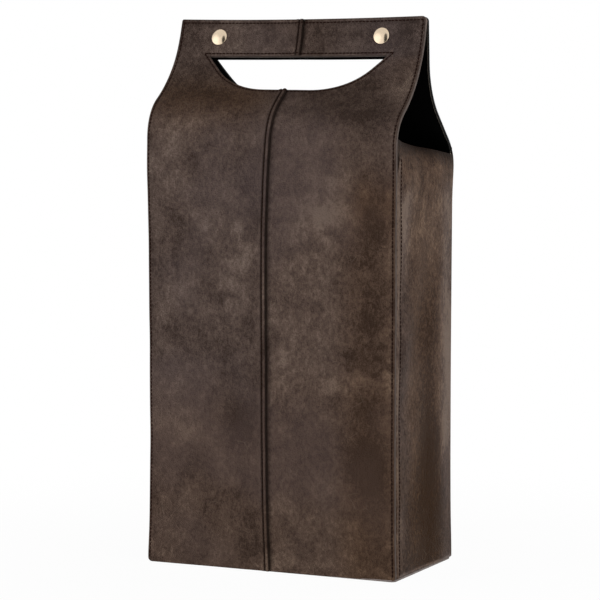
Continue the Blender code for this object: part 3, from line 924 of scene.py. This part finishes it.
def front_face(pattern, rows):
    """Gives the depth of the front leather's face, for the left half and the right one."""
    def depth(across, up, left):
        points = np.stack((across, up), 1)
        plain = rounded_edge(pattern.depth_in(points)) + groove(off_rows(points, rows))
        off = seam_off(across, up)
        if left:
            return plain + lap_face(off)
        return plain + 0.3 * hump(off, 0.3, 0.8)
    return depth


# Settings that a user would change

def share_setting(name, description, default):
    return FloatProperty(name=name, description=description, default=default, min=0.0, max=1.0,
                         subtype="FACTOR")


def length_setting(name, description, default, most):
    return FloatProperty(name=name, description=description, default=default, min=0.0, max=most,
                         subtype="DISTANCE", unit="LENGTH")


def colour_setting(name, description, default):
    return FloatVectorProperty(name=name, description=description, default=default, min=0.0,
                               max=1.0, subtype="COLOR", size=3)


class BagLeather(bpy.types.PropertyGroup):
    """Finish of the hide"""

    # The dark colour also gives the painted shade, and the light colour the painted highlights and
    # sheen, besides the patches of the hide.
    dark: colour_setting("Dark", "Colour of the dark patches", (0.036, 0.0226, 0.0172))
    middle: colour_setting("Middle", "Colour between the patches", (0.097, 0.0654, 0.0520))
    light: colour_setting("Light", "Colour of the rubbed patches", (0.185, 0.1335, 0.1035))
    tint: colour_setting("Tint", "Cooler colour that clouds parts of the hide",
                         (0.090, 0.0640, 0.0600))
    edge: colour_setting("Front edge paint", "Colour of the front's cut edges",
                         (0.100, 0.075, 0.064))
    back_edge: colour_setting("Back edge paint", "Colour of the back flap's cut edges",
                              (0.0035, 0.0032, 0.0030))
    foot_edge: colour_setting("Foot paint", "Colour of the base's cut edge", (0.250, 0.212, 0.197))
    grain: length_setting("Grain", "Width of the grain's pebbles", 0.0015, 0.01)
    roughness: share_setting("Roughness", "Roughness of the hide", 0.56)


class BagLining(bpy.types.PropertyGroup):
    """Finish of the lining"""

    colour: colour_setting("Colour", "Colour of the lining", (0.0010, 0.0010, 0.0011))
    spacing: length_setting("Thread spacing", "Distance between the weave's threads", 0.0006, 0.01)


class BagThread(bpy.types.PropertyGroup):
    """Sewing of the bag"""

    colour: colour_setting("Colour", "Colour of the thread", (0.0150, 0.0056, 0.0036))
    stitch: length_setting("Stitch", "Length of a stitch", 0.00275, 0.02)
    thickness: length_setting("Thickness", "Thickness of the thread", 0.00095, 0.005)
    margin: length_setting("Margin", "Distance of the stitches from an edge", 0.0017, 0.02)


class BagStuds(bpy.types.PropertyGroup):
    """Press studs"""

    colour: colour_setting("Colour", "Colour of the plating", (0.90, 0.725, 0.53))
    radius: length_setting("Radius", "Radius of a cap", CAP_RADIUS, 0.03)
    roughness: share_setting("Roughness", "Roughness of the plating", 0.14)


class BagStage(bpy.types.PropertyGroup):
    """Floor and light"""

    floor: colour_setting("Floor", "Colour of the floor", (0.90, 0.90, 0.90))
    sky: FloatProperty(name="Surroundings", description="Light from all around", default=0.60,
                       min=0.0, max=5.0)
    key: FloatProperty(name="Key light", description="Power of the main lamp", default=22.0,
                       min=0.0, max=1000.0, unit="POWER")


def leather_of(context):
    return kept("front_leather", leather_finish, context.scene.bag_leather)


def wrap_leather_of(context):
    return kept("side_leather", leather_finish, context.scene.bag_leather, (0.41, 0.13, 0.27),
                0.55, 0.1, 0.45)


def lining_of(context):
    return kept("black_lining", cloth_finish, context.scene.bag_lining)


def board_of():
    return kept("grey_board", board_finish)


def layer(context, name, slot, surface, outline, holes, spacing, replaced, with_what="bag"):
    """Makes a board or a lining behind a wall's leather, cut a little back from its holes."""
    holes = [hole + out_of(hole) * CUT_BACK for hole in holes]
    pattern = Pattern(outline, holes, (), (), spacing)
    outer, inner, material = ((BOARD_FROM, BOARD_TO, board_of()) if slot == "board"
                              else (LINING_FROM, LINING_TO, lining_of(context)))
    piece = shell(name, surface, pattern.points, pattern.faces, outer, inner, material)
    finished(piece, slot, replaced, with_what)


def seam_lines():
    """Rows of points that follow the lapped seam."""
    up = np.arange(FOOT - 4, FRONT_LENGTH + 6, 2.8)
    fold = curve_through(SEAM, up)
    offs = (0.6, 0, -0.15, -0.4, -0.8, -1.3, -1.8, -2.3, -2.6, -2.9, -3.2, -3.5, -LAP, -4.4, -5.2,
            -6.4)
    return [np.stack((fold + off, up), 1) for off in offs]


def front_pattern():
    return Pattern(front_outline(LEATHER_FOOT), [FRONT_HOLE.outline], seam_lines())


class BAG_OT_front(bpy.types.Operator):
    """Makes the front: two halves of leather, the board and the lining"""

    bl_idname = "bottle_bag.front"
    bl_label = "Front"

    def execute(self, context):
        leather = leather_of(context)
        pattern = front_pattern()
        rows = front_rows(context.scene.bag_thread.margin / MM)
        face, crease = front_face(pattern, rows), front_crease(rows)
        for left, label in ((True, "left"), (False, "right")):
            points, faces = pattern.part(lambda across, up: (
                seam_off(across, up) < 0 if left else seam_off(across, up) > -LAP))
            spots = points.T
            inner = np.where(left & (seam_off(*spots) > -LAP - 0.1), ON_RIGHT_HALF, LEATHER)
            piece = shell(f"front_leather_{label}", front_surface, points, faces,
                          face(*spots, left), inner, leather, crease=crease(*spots, left),
                          wear=front_wear(*spots), cast=front_cast(*spots))
            finished(piece, "leather", (f"front_panel_{label}", f"front_flap_{label}"), OVER_FRONT)
        outline = front_outline(FOOT)
        outline = outline - out_of(outline) * CUT_BACK
        for name, slot, spacing in (("front_stiffener", "board", 7.0),
                                    ("front_inner_lining", "lining", 4.0)):
            layer(context, name, slot, front_surface, outline, [FRONT_HOLE.outline], spacing,
                  (f"front_{slot}", f"front_flap_{slot}"), OVER_FRONT)
        return {"FINISHED"}


class BAG_OT_body(bpy.types.Operator):
    """Makes the sides, the back and the back flap: leather, boards and lining"""

    bl_idname = "bottle_bag.body"
    bl_label = "Sides and back"

    def execute(self, context):
        holes = [BACK_HOLE.outline]
        pattern = Pattern(wrap_outline(), holes)
        across, up = pattern.points.T
        off = off_rows(pattern.points, back_rows(context.scene.bag_thread.margin / MM))
        outer = rounded_edge(pattern.depth_in(pattern.points)) + groove(off)
        run = np.abs(across)
        below_top = side_top(wall_course(run, np.full_like(run, SIDE_LEVEL))[1]) - up
        on_side = run > CUT + SLIT
        inner = LEATHER + (LINING_FROM - 0.1 - LEATHER) * (smooth(1 - below_top / 7) * on_side)
        # Painted shade: the leather darkens towards a side's rolled-in top, besides the stitch
        # grooves and the slit.
        shade_share = np.maximum(groove_shade(off), smooth(1 - below_top / 14) ** 1.3 * on_side)
        shade_share = np.maximum(shade_share, slit_shade(run, up))
        leather = shell("side_and_back_leather", wrap_surface, pattern.points, pattern.faces, outer,
                        inner, wrap_leather_of(context), crease=shade_share, wear=side_wear(run, up),
                        cast=side_cast(run, up))
        finished(leather, "leather", ("side_and_back_panel", "back_flap_leather"), OVER_BACK)
        layer(context, "side_and_back_inner_lining", "lining", wrap_surface, wrap_outline(0.8),
              holes, 4.0, ("side_and_back_lining", "back_flap_lining"), OVER_BACK)
        edge = CUT - CUT_BACK
        low = CORNER_FROM - 3
        corner = (edge - TOP_CORNER, BACK_LENGTH - CUT_BACK - TOP_CORNER)
        upright = [(low, FOOT), (low, BACK_SHOULDER - 26), (edge, BACK_SHOULDER + 3),
                   *round_corner(corner, TOP_CORNER, 0)]
        layer(context, "back_stiffener", "board", wrap_surface, both_sides(upright), holes, 7.0,
              ("back_board", "back_flap_board"), OVER_BACK)
        for side, label in SIDES:
            near, far = sorted((side * (CORNER_TO + 1), side * (SIDE_END - 1)))
            outline = [(near, FOOT), (far, FOOT), (far, SIDE_BOARD_TOP), (near, SIDE_BOARD_TOP)]
            layer(context, f"side_stiffener_{label}", "board", wrap_surface, outline, (), 8.0,
                  (f"side_board_{label}",))
        return {"FINISHED"}


def strip_back(up):
    """Place of a corner strip's back edge, which runs a little forward towards the ground."""
    return SIDE_END - 5.6 - 1.0 * smooth((up - 95) / 110)


class BAG_OT_strips(bpy.types.Operator):
    """Makes the leather strips along the front edges of the sides"""

    bl_idname = "bottle_bag.strips"
    bl_label = "Corner strips"

    def execute(self, context):
        up = np.array([FOOT, 40, 120, 200, 260, 280, 285, 288.5, STRIP_TOP])
        front = np.stack((STRIP_FRONT - 3.6 * smooth((up - SLIT_FROM) / 6), up), 1)
        back = np.stack((strip_back(up), up), 1)
        right = np.concatenate((front, back[::-1]))
        for side, label in SIDES:
            outline = (right * (side, 1))[::side]
            pattern = Pattern(outline, (), (), (0.15, 0.4, 0.8, 1.2, 1.8), 2.4)
            across, height = pattern.points.T
            margin = pattern.depth_in(pattern.points)
            behind = np.abs(across) - strip_back(height)
            crown = 0.12 * np.sin(math.pi * np.clip((behind - 1.2) / 5.0, 0, 1))
            off = behind - STRIP_STITCH
            outer = STRIP_FACE - crown + rounded_edge(margin) + groove(off, 0.08, 0.5)
            # The strip's stitch row is darkened with painted shade.
            piece = shell(f"corner_strip_leather_{label}", wrap_surface, pattern.points,
                          pattern.faces, outer, -0.04, wrap_leather_of(context), wear=0.9,
                          crease=1.6 * groove_shade(off), cast=0.1 + 0.5 * smooth((120 - height) / 60))
            finished(piece, "leather", (f"corner_strip_{label}",))
        return {"FINISHED"}


class BAG_OT_edges(bpy.types.Operator):
    """Paints the cut edges of the front, the back flap and both handholes"""

    bl_idname = "bottle_bag.edges"
    bl_label = "Edge paint"

    def execute(self, context):
        settings = context.scene.bag_leather
        brown = kept("edge_paint", paint_finish, settings.edge)
        black = kept("black_edge_paint", paint_finish, settings.back_edge)
        section = [(0.02, 0.30), (0.10, 0.36), (0.19, 0.70), (0.24, 1.5), (0.21, 2.4),
                   (0.12, 2.92), (0.02, 3.02)]
        outline = front_outline(LEATHER_FOOT)
        # From the middle of one lower corner over the top to the middle of the other
        front_edge = np.concatenate((outline[9:], outline[:3]))
        flap_edge = [p for p in wrap_outline() if p[1] > BACK_SHOULDER + 0.5 and abs(p[0]) <= CUT]
        flap_edge = np.array([(CUT, BACK_SHOULDER - 1.5), *flap_edge, (-CUT, BACK_SHOULDER - 1.5)])
        for label, surface, path, hole, fold, paint in (
                ("front_edge", front_surface, front_edge, False, OVER_FRONT, brown),
                ("front_handhole", front_surface, FRONT_HOLE.outline, True, OVER_FRONT, brown),
                ("back_flap_edge", wrap_surface, flap_edge, False, OVER_BACK, black),
                ("back_handhole", wrap_surface, BACK_HOLE.outline, True, OVER_BACK, black)):
            fine = divided(path, 2.4, hole)
            piece = sweep(f"{label}_paint", surface, fine, hole, section, paint)
            finished(piece, "leather", (), fold)
        return {"FINISHED"}


class BAG_OT_stitching(bpy.types.Operator):
    """Sews every row of stitches"""

    bl_idname = "bottle_bag.stitching"
    bl_label = "Stitching"

    def execute(self, context):
        margin = context.scene.bag_thread.margin / MM
        rows = front_rows(margin)
        face = front_face(front_pattern(), rows)
        up = np.arange(FIRST_STITCH, FRONT_LENGTH - 1, 2.0)
        seam = np.stack((curve_through(SEAM, up) - LAP_STITCH, up), 1)
        lapped = [seam[seam[:, 1] < FRONT_HOLE.low - 0.8], seam[seam[:, 1] > FRONT_HOLE.top + 0.8]]
        self.sew(context, "front_stitches", front_surface, rows + lapped,
                 lambda across, up: np.where(seam_off(across, up) < -0.4, face(across, up, True),
                                             face(across, up, False)), OVER_FRONT)
        self.sew(context, "back_flap_stitches", wrap_surface, back_rows(margin),
                 lambda across, up: THREAD_BED, OVER_BACK)
        up = np.linspace(FIRST_STITCH, STRIP_TOP - 1.5, 60)
        for side, label in SIDES:
            self.sew(context, f"corner_stitches_{label}", wrap_surface,
                     [np.stack((side * (strip_back(up) + STRIP_STITCH), up), 1)],
                     lambda across, up: STRIP_FACE - 0.02, "bag")
        return {"FINISHED"}

    def sew(self, context, name, surface, rows, face, with_what):
        """Makes one mesh of the stitches in some rows, each a short run of thread.

        The face gives the depth of the leather under the thread.
        """
        thread = context.scene.bag_thread
        pitch, thick = thread.stitch / MM, thread.thickness / MM / 2
        centres, ways = [], []
        for row in rows:
            path = np.asarray(row, float)
            steps = np.linalg.norm(np.diff(path, axis=0), axis=1)
            along = np.concatenate(([0], np.cumsum(steps)))
            count = max(1, round(along[-1] / pitch))
            marks = (np.arange(count) + 0.5) * along[-1] / count
            spots = np.stack([np.interp(marks, along, path[:, k]) for k in (0, 1)], 1)
            ahead = np.stack([np.interp(marks + 0.4, along, path[:, k])
                              - np.interp(marks - 0.4, along, path[:, k]) for k in (0, 1)], 1)
            centres.append(spots)
            ways.append(ahead / np.linalg.norm(ahead, axis=1)[:, None])
        centres, ways = np.concatenate(centres), np.concatenate(ways)
        half, sides = pitch * 0.43, 6
        widths = {-1: 0.35, -0.82: 0.85, -0.4: 1.0, 0.4: 1.0, 0.82: 0.85, 1: 0.35}
        spine = []
        for share in widths:
            spots = centres + ways * half * share
            sink = thick * (1.9 * abs(share) ** 4 - 0.35)
            spine.append(lay(surface, *spots.T, face(*spots.T) + sink))
        rings = []
        for k, width in enumerate(widths.values()):
            before, after = spine[max(k - 1, 0)][0], spine[min(k + 1, len(spine) - 1)][0]
            tangent = after - before
            tangent /= np.linalg.norm(tangent, axis=1)[:, None]
            across = np.cross(tangent, spine[k][1])
            across /= np.linalg.norm(across, axis=1)[:, None]
            lift = np.cross(across, tangent)
            for j in range(sides):
                turn = 2 * math.pi * j / sides
                rings.append(spine[k][0] + (across * math.cos(turn) + lift * math.sin(turn))
                             * thick * width * MM)
        points = np.stack(rings, 1).reshape(-1, 3)
        faces = []
        for start in range(0, len(points), len(rings)):
            faces += skinned(rings_of(len(widths), sides, start))
        material = kept("sewing_thread", thread_finish, thread)
        moves(add_mesh(name, points, faces, material, sharp=80), with_what)


def turned(name, section, origin, out, material):
    """Round piece turned about an axis, from pairs of radius and height along it."""
    segments = 48
    turn = Vector(out).to_track_quat("Z", "Y")
    points, rings = [], []
    for radius, height in section:
        count = segments if radius else 1
        rings.append([len(points) + k % count for k in range(segments)])
        for k in range(count):
            angle = 2 * math.pi * k / segments
            spot = turn @ Vector((radius * math.cos(angle), radius * math.sin(angle), height))
            points.append((Vector(origin) + spot) * MM)
    return add_mesh(name, points, skinned(rings), material, sharp=38)


class BAG_OT_studs(bpy.types.Operator):
    """Makes the press studs: caps outside, sockets in the front flap and studs in the back flap"""

    bl_idname = "bottle_bag.studs"
    bl_label = "Press studs"

    def execute(self, context):
        settings = context.scene.bag_studs
        gold = kept("pale_gold", metal_finish, settings.colour, settings.roughness)
        radius = settings.radius / MM
        ball = radius * 1.85
        low = math.sqrt(ball ** 2 - (radius * 0.97) ** 2)
        dome = [(r, 0.55 + math.sqrt(ball ** 2 - r ** 2) - low)
                for r in np.linspace(0.97, 0, 13) * radius]
        cap = [(0, -2.6), (1.5, -2.6), (1.5, 0.02), (radius * 0.95, 0.02), (radius * 0.99, 0.14),
               (radius, 0.34), (radius * 0.99, 0.48), *dome]
        socket = [(0, 0.1), (5.2, 0.1), (5.2, 0.5), (5.0, 0.7), (4.4, 0.75), (4.3, 1.7),
                  (4.1, 1.95), (3.7, 1.98), (3.4, 1.8), (3.3, 1.35), (3.45, 1.1), (3.4, 0.6),
                  (0, 0.6)]
        stud = [(0, 0.1), (3.9, 0.1), (3.95, 0.4), (3.7, 0.62), (2.4, 0.72), (1.75, 0.95),
                (1.7, 1.6), (2.0, 1.95), (2.0, 2.3), (1.7, 2.65), (1.1, 2.85), (0, 2.88)]
        for label in ("left", "right"):
            for half, surface, way, length, fastener, section in (
                    ("front", front_surface, 1, FRONT_LENGTH, "socket", socket),
                    ("back", wrap_surface, -1, BACK_LENGTH, "stud", stud)):
                face, out = self.spot(surface, way, length, cad_centre(f"{half}_cap_{label}"))
                piece = turned(f"{half}_stud_cap_{label}", cap, face + out * GAP, out, gold)
                finished(piece, "gold", (f"{half}_cap_{label}",), f"{half}_flap")
                piece = turned(f"{half}_{fastener}_turned_{label}", section,
                               face - out * (LINING_TO + GAP), -out, gold)
                finished(piece, "gold", (f"{half}_{fastener}_{label}",), f"{half}_flap")
        return {"FINISHED"}

    def spot(self, surface, way, length, centre):
        """Place on the leather's face level with a stud's middle, and the way out of it."""
        up, across = np.linspace(300, length, 400), way * centre[0]
        heights = surface(np.full_like(up, across), up)[:, 2]
        level = np.interp(centre[2], heights, up)
        face, out = lay(surface, np.array([across]), np.array([level]), 0)
        return face[0] / MM, out[0]


class BAG_OT_base(bpy.types.Operator):
    """Makes the base: leather with its painted edge, the board and the lining that lies on it"""

    bl_idname = "bottle_bag.base"
    bl_label = "Base"

    def execute(self, context):
        base_size, base_bend = (95.3, -51.5, 52.2), 6.0
        leather = [(0.9, 0.02), (0.25, 0.12), (0.0, 0.45), (0.0, 0.95), (0.2, 1.2), (0.7, BASE_TOP)]
        edge = [(0.6, 0.12), (0.12, 0.2), (-0.06, 0.55), (-0.06, 1.1), (0.12, 1.45), (0.6, 1.5)]
        paint = kept("foot_paint", paint_finish, context.scene.bag_leather.foot_edge)
        layers = [("base_leather", "leather", ("base_panel",), leather, base_size, base_bend,
                   leather_of(context)),
                  ("base_edge_paint", "leather", (), edge, base_size, base_bend, paint)]
        for name, slot, node, round_off, top_inset, material in (
                ("base_stiffener", "board", "base_board", 0.2, 0.2, board_of()),
                ("base_inner_lining", "lining", "base_lining", 0.1, 0.3, lining_of(context))):
            low, high = cad_box(node)
            profile = [(0.2, low[2]), (0, low[2] + round_off), (0, high[2] - round_off),
                       (top_inset, high[2])]
            layers.append((name, slot, (node,), profile, (high[0], low[1], high[1]), 5.0, material))
        for name, slot, nodes, profile, size, bend, material in layers:
            piece = self.slab(name, profile, size, bend, material)
            finished(piece, slot, nodes)
        return {"FINISHED"}

    def slab(self, name, profile, size, back_bend, material):
        """Level layer, from pairs of inset and height, with rounder corners at the back."""
        half, front, back = size
        front_bend = 3.5
        points, rings = [], []
        for inset, height in profile:
            edge, near, far = half - inset, front + inset, back - inset
            small, large = front_bend - inset, back_bend - inset
            corners = (round_corner((edge - small, near + small), small, -math.pi / 2, 6)
                       + round_corner((edge - large, far - large), large, 0, 8))
            ring = divided(both_sides(corners), 9)
            rings.append([len(points) + k for k in range(len(ring))])
            points += [(x * MM, y * MM, height * MM) for x, y in ring]
        return add_mesh(name, points, skinned(rings), material, sharp=50)


class BAG_OT_divider(bpy.types.Operator):
    """Makes the divider between the two bottles"""

    bl_idname = "bottle_bag.divider"
    bl_label = "Divider"

    def execute(self, context):
        near, far, bend = -47.9, 47.6, 4
        for name, slot, low, high, material, spacing, node in (
                ("divider_stiffener", "board", -0.6, 0.6, board_of(), 9.0, "divider_board"),
                ("divider_lining_right", "lining", -1.3, -0.75, lining_of(context), 5.0,
                 "divider_cover_right"),
                ("divider_lining_left", "lining", 0.75, 1.3, lining_of(context), 5.0,
                 "divider_cover_left")):
            outline = [(near, FLOOR_TOP + 0.3), (far, FLOOR_TOP + 0.3),
                       *round_corner((far - bend, DIVIDER_TOP - bend), bend, 0),
                       *round_corner((near + bend, DIVIDER_TOP - bend), bend, math.pi / 2)]
            lined = slot == "lining"
            pattern = Pattern(outline, (), (), (0.2, 0.6) if lined else (), spacing)
            margin = pattern.depth_in(pattern.points)
            soft = lined * 0.22 * np.clip(1 - margin / 0.6, 0, 1) ** 2
            piece = shell(name, divider_surface, pattern.points, pattern.faces, low + soft,
                          high - soft, material)
            finished(piece, slot, (node,))
        return {"FINISHED"}


class BAG_OT_stage(bpy.types.Operator):
    """Sets the floor, the lamps, the surroundings and the camera"""

    bl_idname = "bottle_bag.stage"
    bl_label = "Stage"

    def execute(self, context):
        settings = context.scene.bag_stage
        self.floor(settings)
        self.surroundings(settings)
        self.lamp("key_light", (-1.20, -1.35, 0.32), (0, -0.03, 0.20), 1.0, settings.key)
        self.lamp("side_light", (1.15, -0.25, 0.46), (0.09, 0, 0.26), 0.7, settings.key * 0.26)
        self.lamp("rim_light", (0.62, 1.25, 0.45), (0.09, 0.04, 0.20), 0.5, settings.key * 0.25)
        self.camera(context)
        return {"FINISHED"}

    def floor(self, settings):
        reach = 6.0
        corners = [(-reach, -reach, 0), (reach, -reach, 0), (reach, reach, 0), (-reach, reach, 0)]
        finish = Finish("pale_floor", Roughness=0.9)
        grain = finish.noise(0.01, 2, 0.5)
        colour = finish.mix(grain, times(settings.floor, 0.99), settings.floor)
        finish.tree.links.new(colour.output, finish.shader.inputs["Base Color"])
        seen, mirrored, through = self.ray_kinds(finish.tree)
        from_studs = finish.place.vector("SUBTRACT", (0, -0.05, 0.355)).vector("NORMALIZE")
        level = seen + through + mirrored * self.reflected(from_studs)
        tint = finish.node("CombineXYZ", {}, {0: level, 1: level, 2: level})
        glow = finish.node("Emission", {}, {"Color": tint, "Strength": 1.0})
        away = finish.place.vector("LENGTH", output=1)
        share = seen * (away.between(0.12, 0.5) * 0.035 + 0.965) + mirrored + through
        lit = Signal(finish.tree, finish.shader.outputs[0])
        both = finish.node("MixShader", {}, {0: share, 1: lit, 2: glow})
        output = finish.tree.nodes["Material Output"]
        finish.tree.links.new(both.output, output.inputs["Surface"])
        floor = add_mesh("floor", corners, [(0, 1, 2, 3)], finish.material)

    def surroundings(self, settings):
        world = bpy.data.worlds.new("studio")
        bpy.context.scene.world = world
        world.use_nodes = True
        tree = world.node_tree
        seen, mirrored, through = self.ray_kinds(tree)
        toward = Signal.of(tree, "TexCoord", {}, {}, "Generated")
        dim = 1 - self.above(toward) * 0.75
        strength = (seen + through + mirrored * self.reflected(toward)
                    + (1 - seen) * (1 - through) * (1 - mirrored) * settings.sky * dim)
        tree.links.new(strength.output, tree.nodes["Background"].inputs["Strength"])
        tree.nodes["Background"].inputs["Color"].default_value = (1, 1, 1, 1)

    def ray_kinds(self, tree):
        """Which rays come from the camera, from a mirroring surface and through a clear one."""
        return [Signal.of(tree, "LightPath", {}, {}, f"Is {kind} Ray")
                for kind in ("Camera", "Glossy", "Transmission")]

    def above(self, toward):
        """How far up a direction points, as a share."""
        return Signal.of(toward.tree, "SeparateXYZ", {}, {0: toward}, 2).between(0.05, 0.85)

    def reflected(self, toward):
        """What metal mirrors in a direction: a soft light at each side and a dark flag in front."""
        flag = self.facing(toward, (0.32, -0.945, 0.05), 0.30).between(0.955, 0.990)
        glow = self.facing(toward, (-0.753, -0.655, 0.06), 1.0).between(0.72, 0.99)
        rim = self.facing(toward, (0.78, -0.62, 0.05), 1.0).between(0.90, 0.98)
        lights = 0.95 + glow * 0.45 + rim * 0.35 - self.above(toward) * 0.15
        return lights * (1 - flag * 0.94)

    def facing(self, toward, way, tall):
        """Cosine between a ray and a way, with the ray's rise counted at a share of it."""
        flat = toward.vector("MULTIPLY", (1, 1, tall)).vector("NORMALIZE")
        return flat.vector("DOT_PRODUCT", way, output=1)

    def lamp(self, name, place, target, size, power):
        lamp = bpy.data.lights.new(name, "AREA")
        lamp.shape = "DISK"
        lamp.size = size
        lamp.energy = power
        holder = bpy.data.objects.new(name, lamp)
        holder.location = place
        way = Vector(target) - Vector(place)
        holder.rotation_euler = way.to_track_quat("-Z", "Y").to_euler()
        holder.visible_glossy = False
        bpy.context.scene.collection.objects.link(holder)

    def camera(self, context):
        sensor, focal_pixels, photo_pixels = 36.0, 2586.84, 600
        camera = bpy.data.cameras.new("photo_camera")
        camera.sensor_width = sensor
        camera.lens = focal_pixels / photo_pixels * sensor
        camera.clip_start, camera.clip_end = 0.01, 50.0
        holder = bpy.data.objects.new("photo_camera", camera)
        holder.location = (0.78584, -1.65385, 0.33942)
        turn, dip = math.radians(25.4329), math.radians(4.7743)
        ahead = Vector((-math.sin(turn) * math.cos(dip), math.cos(turn) * math.cos(dip),
                        -math.sin(dip)))
        holder.rotation_mode = "QUATERNION"
        holder.rotation_quaternion = ahead.to_track_quat("-Z", "Y")
        context.scene.collection.objects.link(holder)
        context.scene.camera = holder


class BAG_PT_panel(bpy.types.Panel):
    """Lists what the bag is made of"""

    bl_idname = "BAG_PT_panel"
    bl_label = "Bottle Bag"
    bl_space_type = "VIEW_3D"
    bl_region_type = "UI"
    bl_category = "Bottle Bag"

    def draw(self, context):
        for operator in OPERATORS:
            self.layout.operator(operator.bl_idname)
        for name, group in GROUPS.items():
            box = self.layout.box()
            box.label(text=group.__doc__)
            for setting in group.__annotations__:
                box.prop(getattr(context.scene, name), setting)


GROUPS = {"bag_leather": BagLeather, "bag_lining": BagLining, "bag_thread": BagThread,
          "bag_studs": BagStuds, "bag_stage": BagStage}
OPERATORS = (BAG_OT_front, BAG_OT_body, BAG_OT_strips, BAG_OT_base, BAG_OT_divider, BAG_OT_edges,
             BAG_OT_stitching, BAG_OT_studs, BAG_OT_stage)


def register():
    for group in GROUPS.values():
        bpy.utils.register_class(group)
    for operator in OPERATORS:
        bpy.utils.register_class(operator)
    bpy.utils.register_class(BAG_PT_panel)
    for name, group in GROUPS.items():
        setattr(bpy.types.Scene, name, PointerProperty(type=group))


def unregister():
    for name in GROUPS:
        delattr(bpy.types.Scene, name)
    for thing in (BAG_PT_panel, *reversed(OPERATORS), *reversed(GROUPS.values())):
        bpy.utils.unregister_class(thing)


def main():
    register()
    for operator in OPERATORS:
        group, name = operator.bl_idname.split(".")
        getattr(getattr(bpy.ops, group), name)()
    bpy.context.scene.view_settings.view_transform = "Standard"


if __name__ == "__main__":
    main()
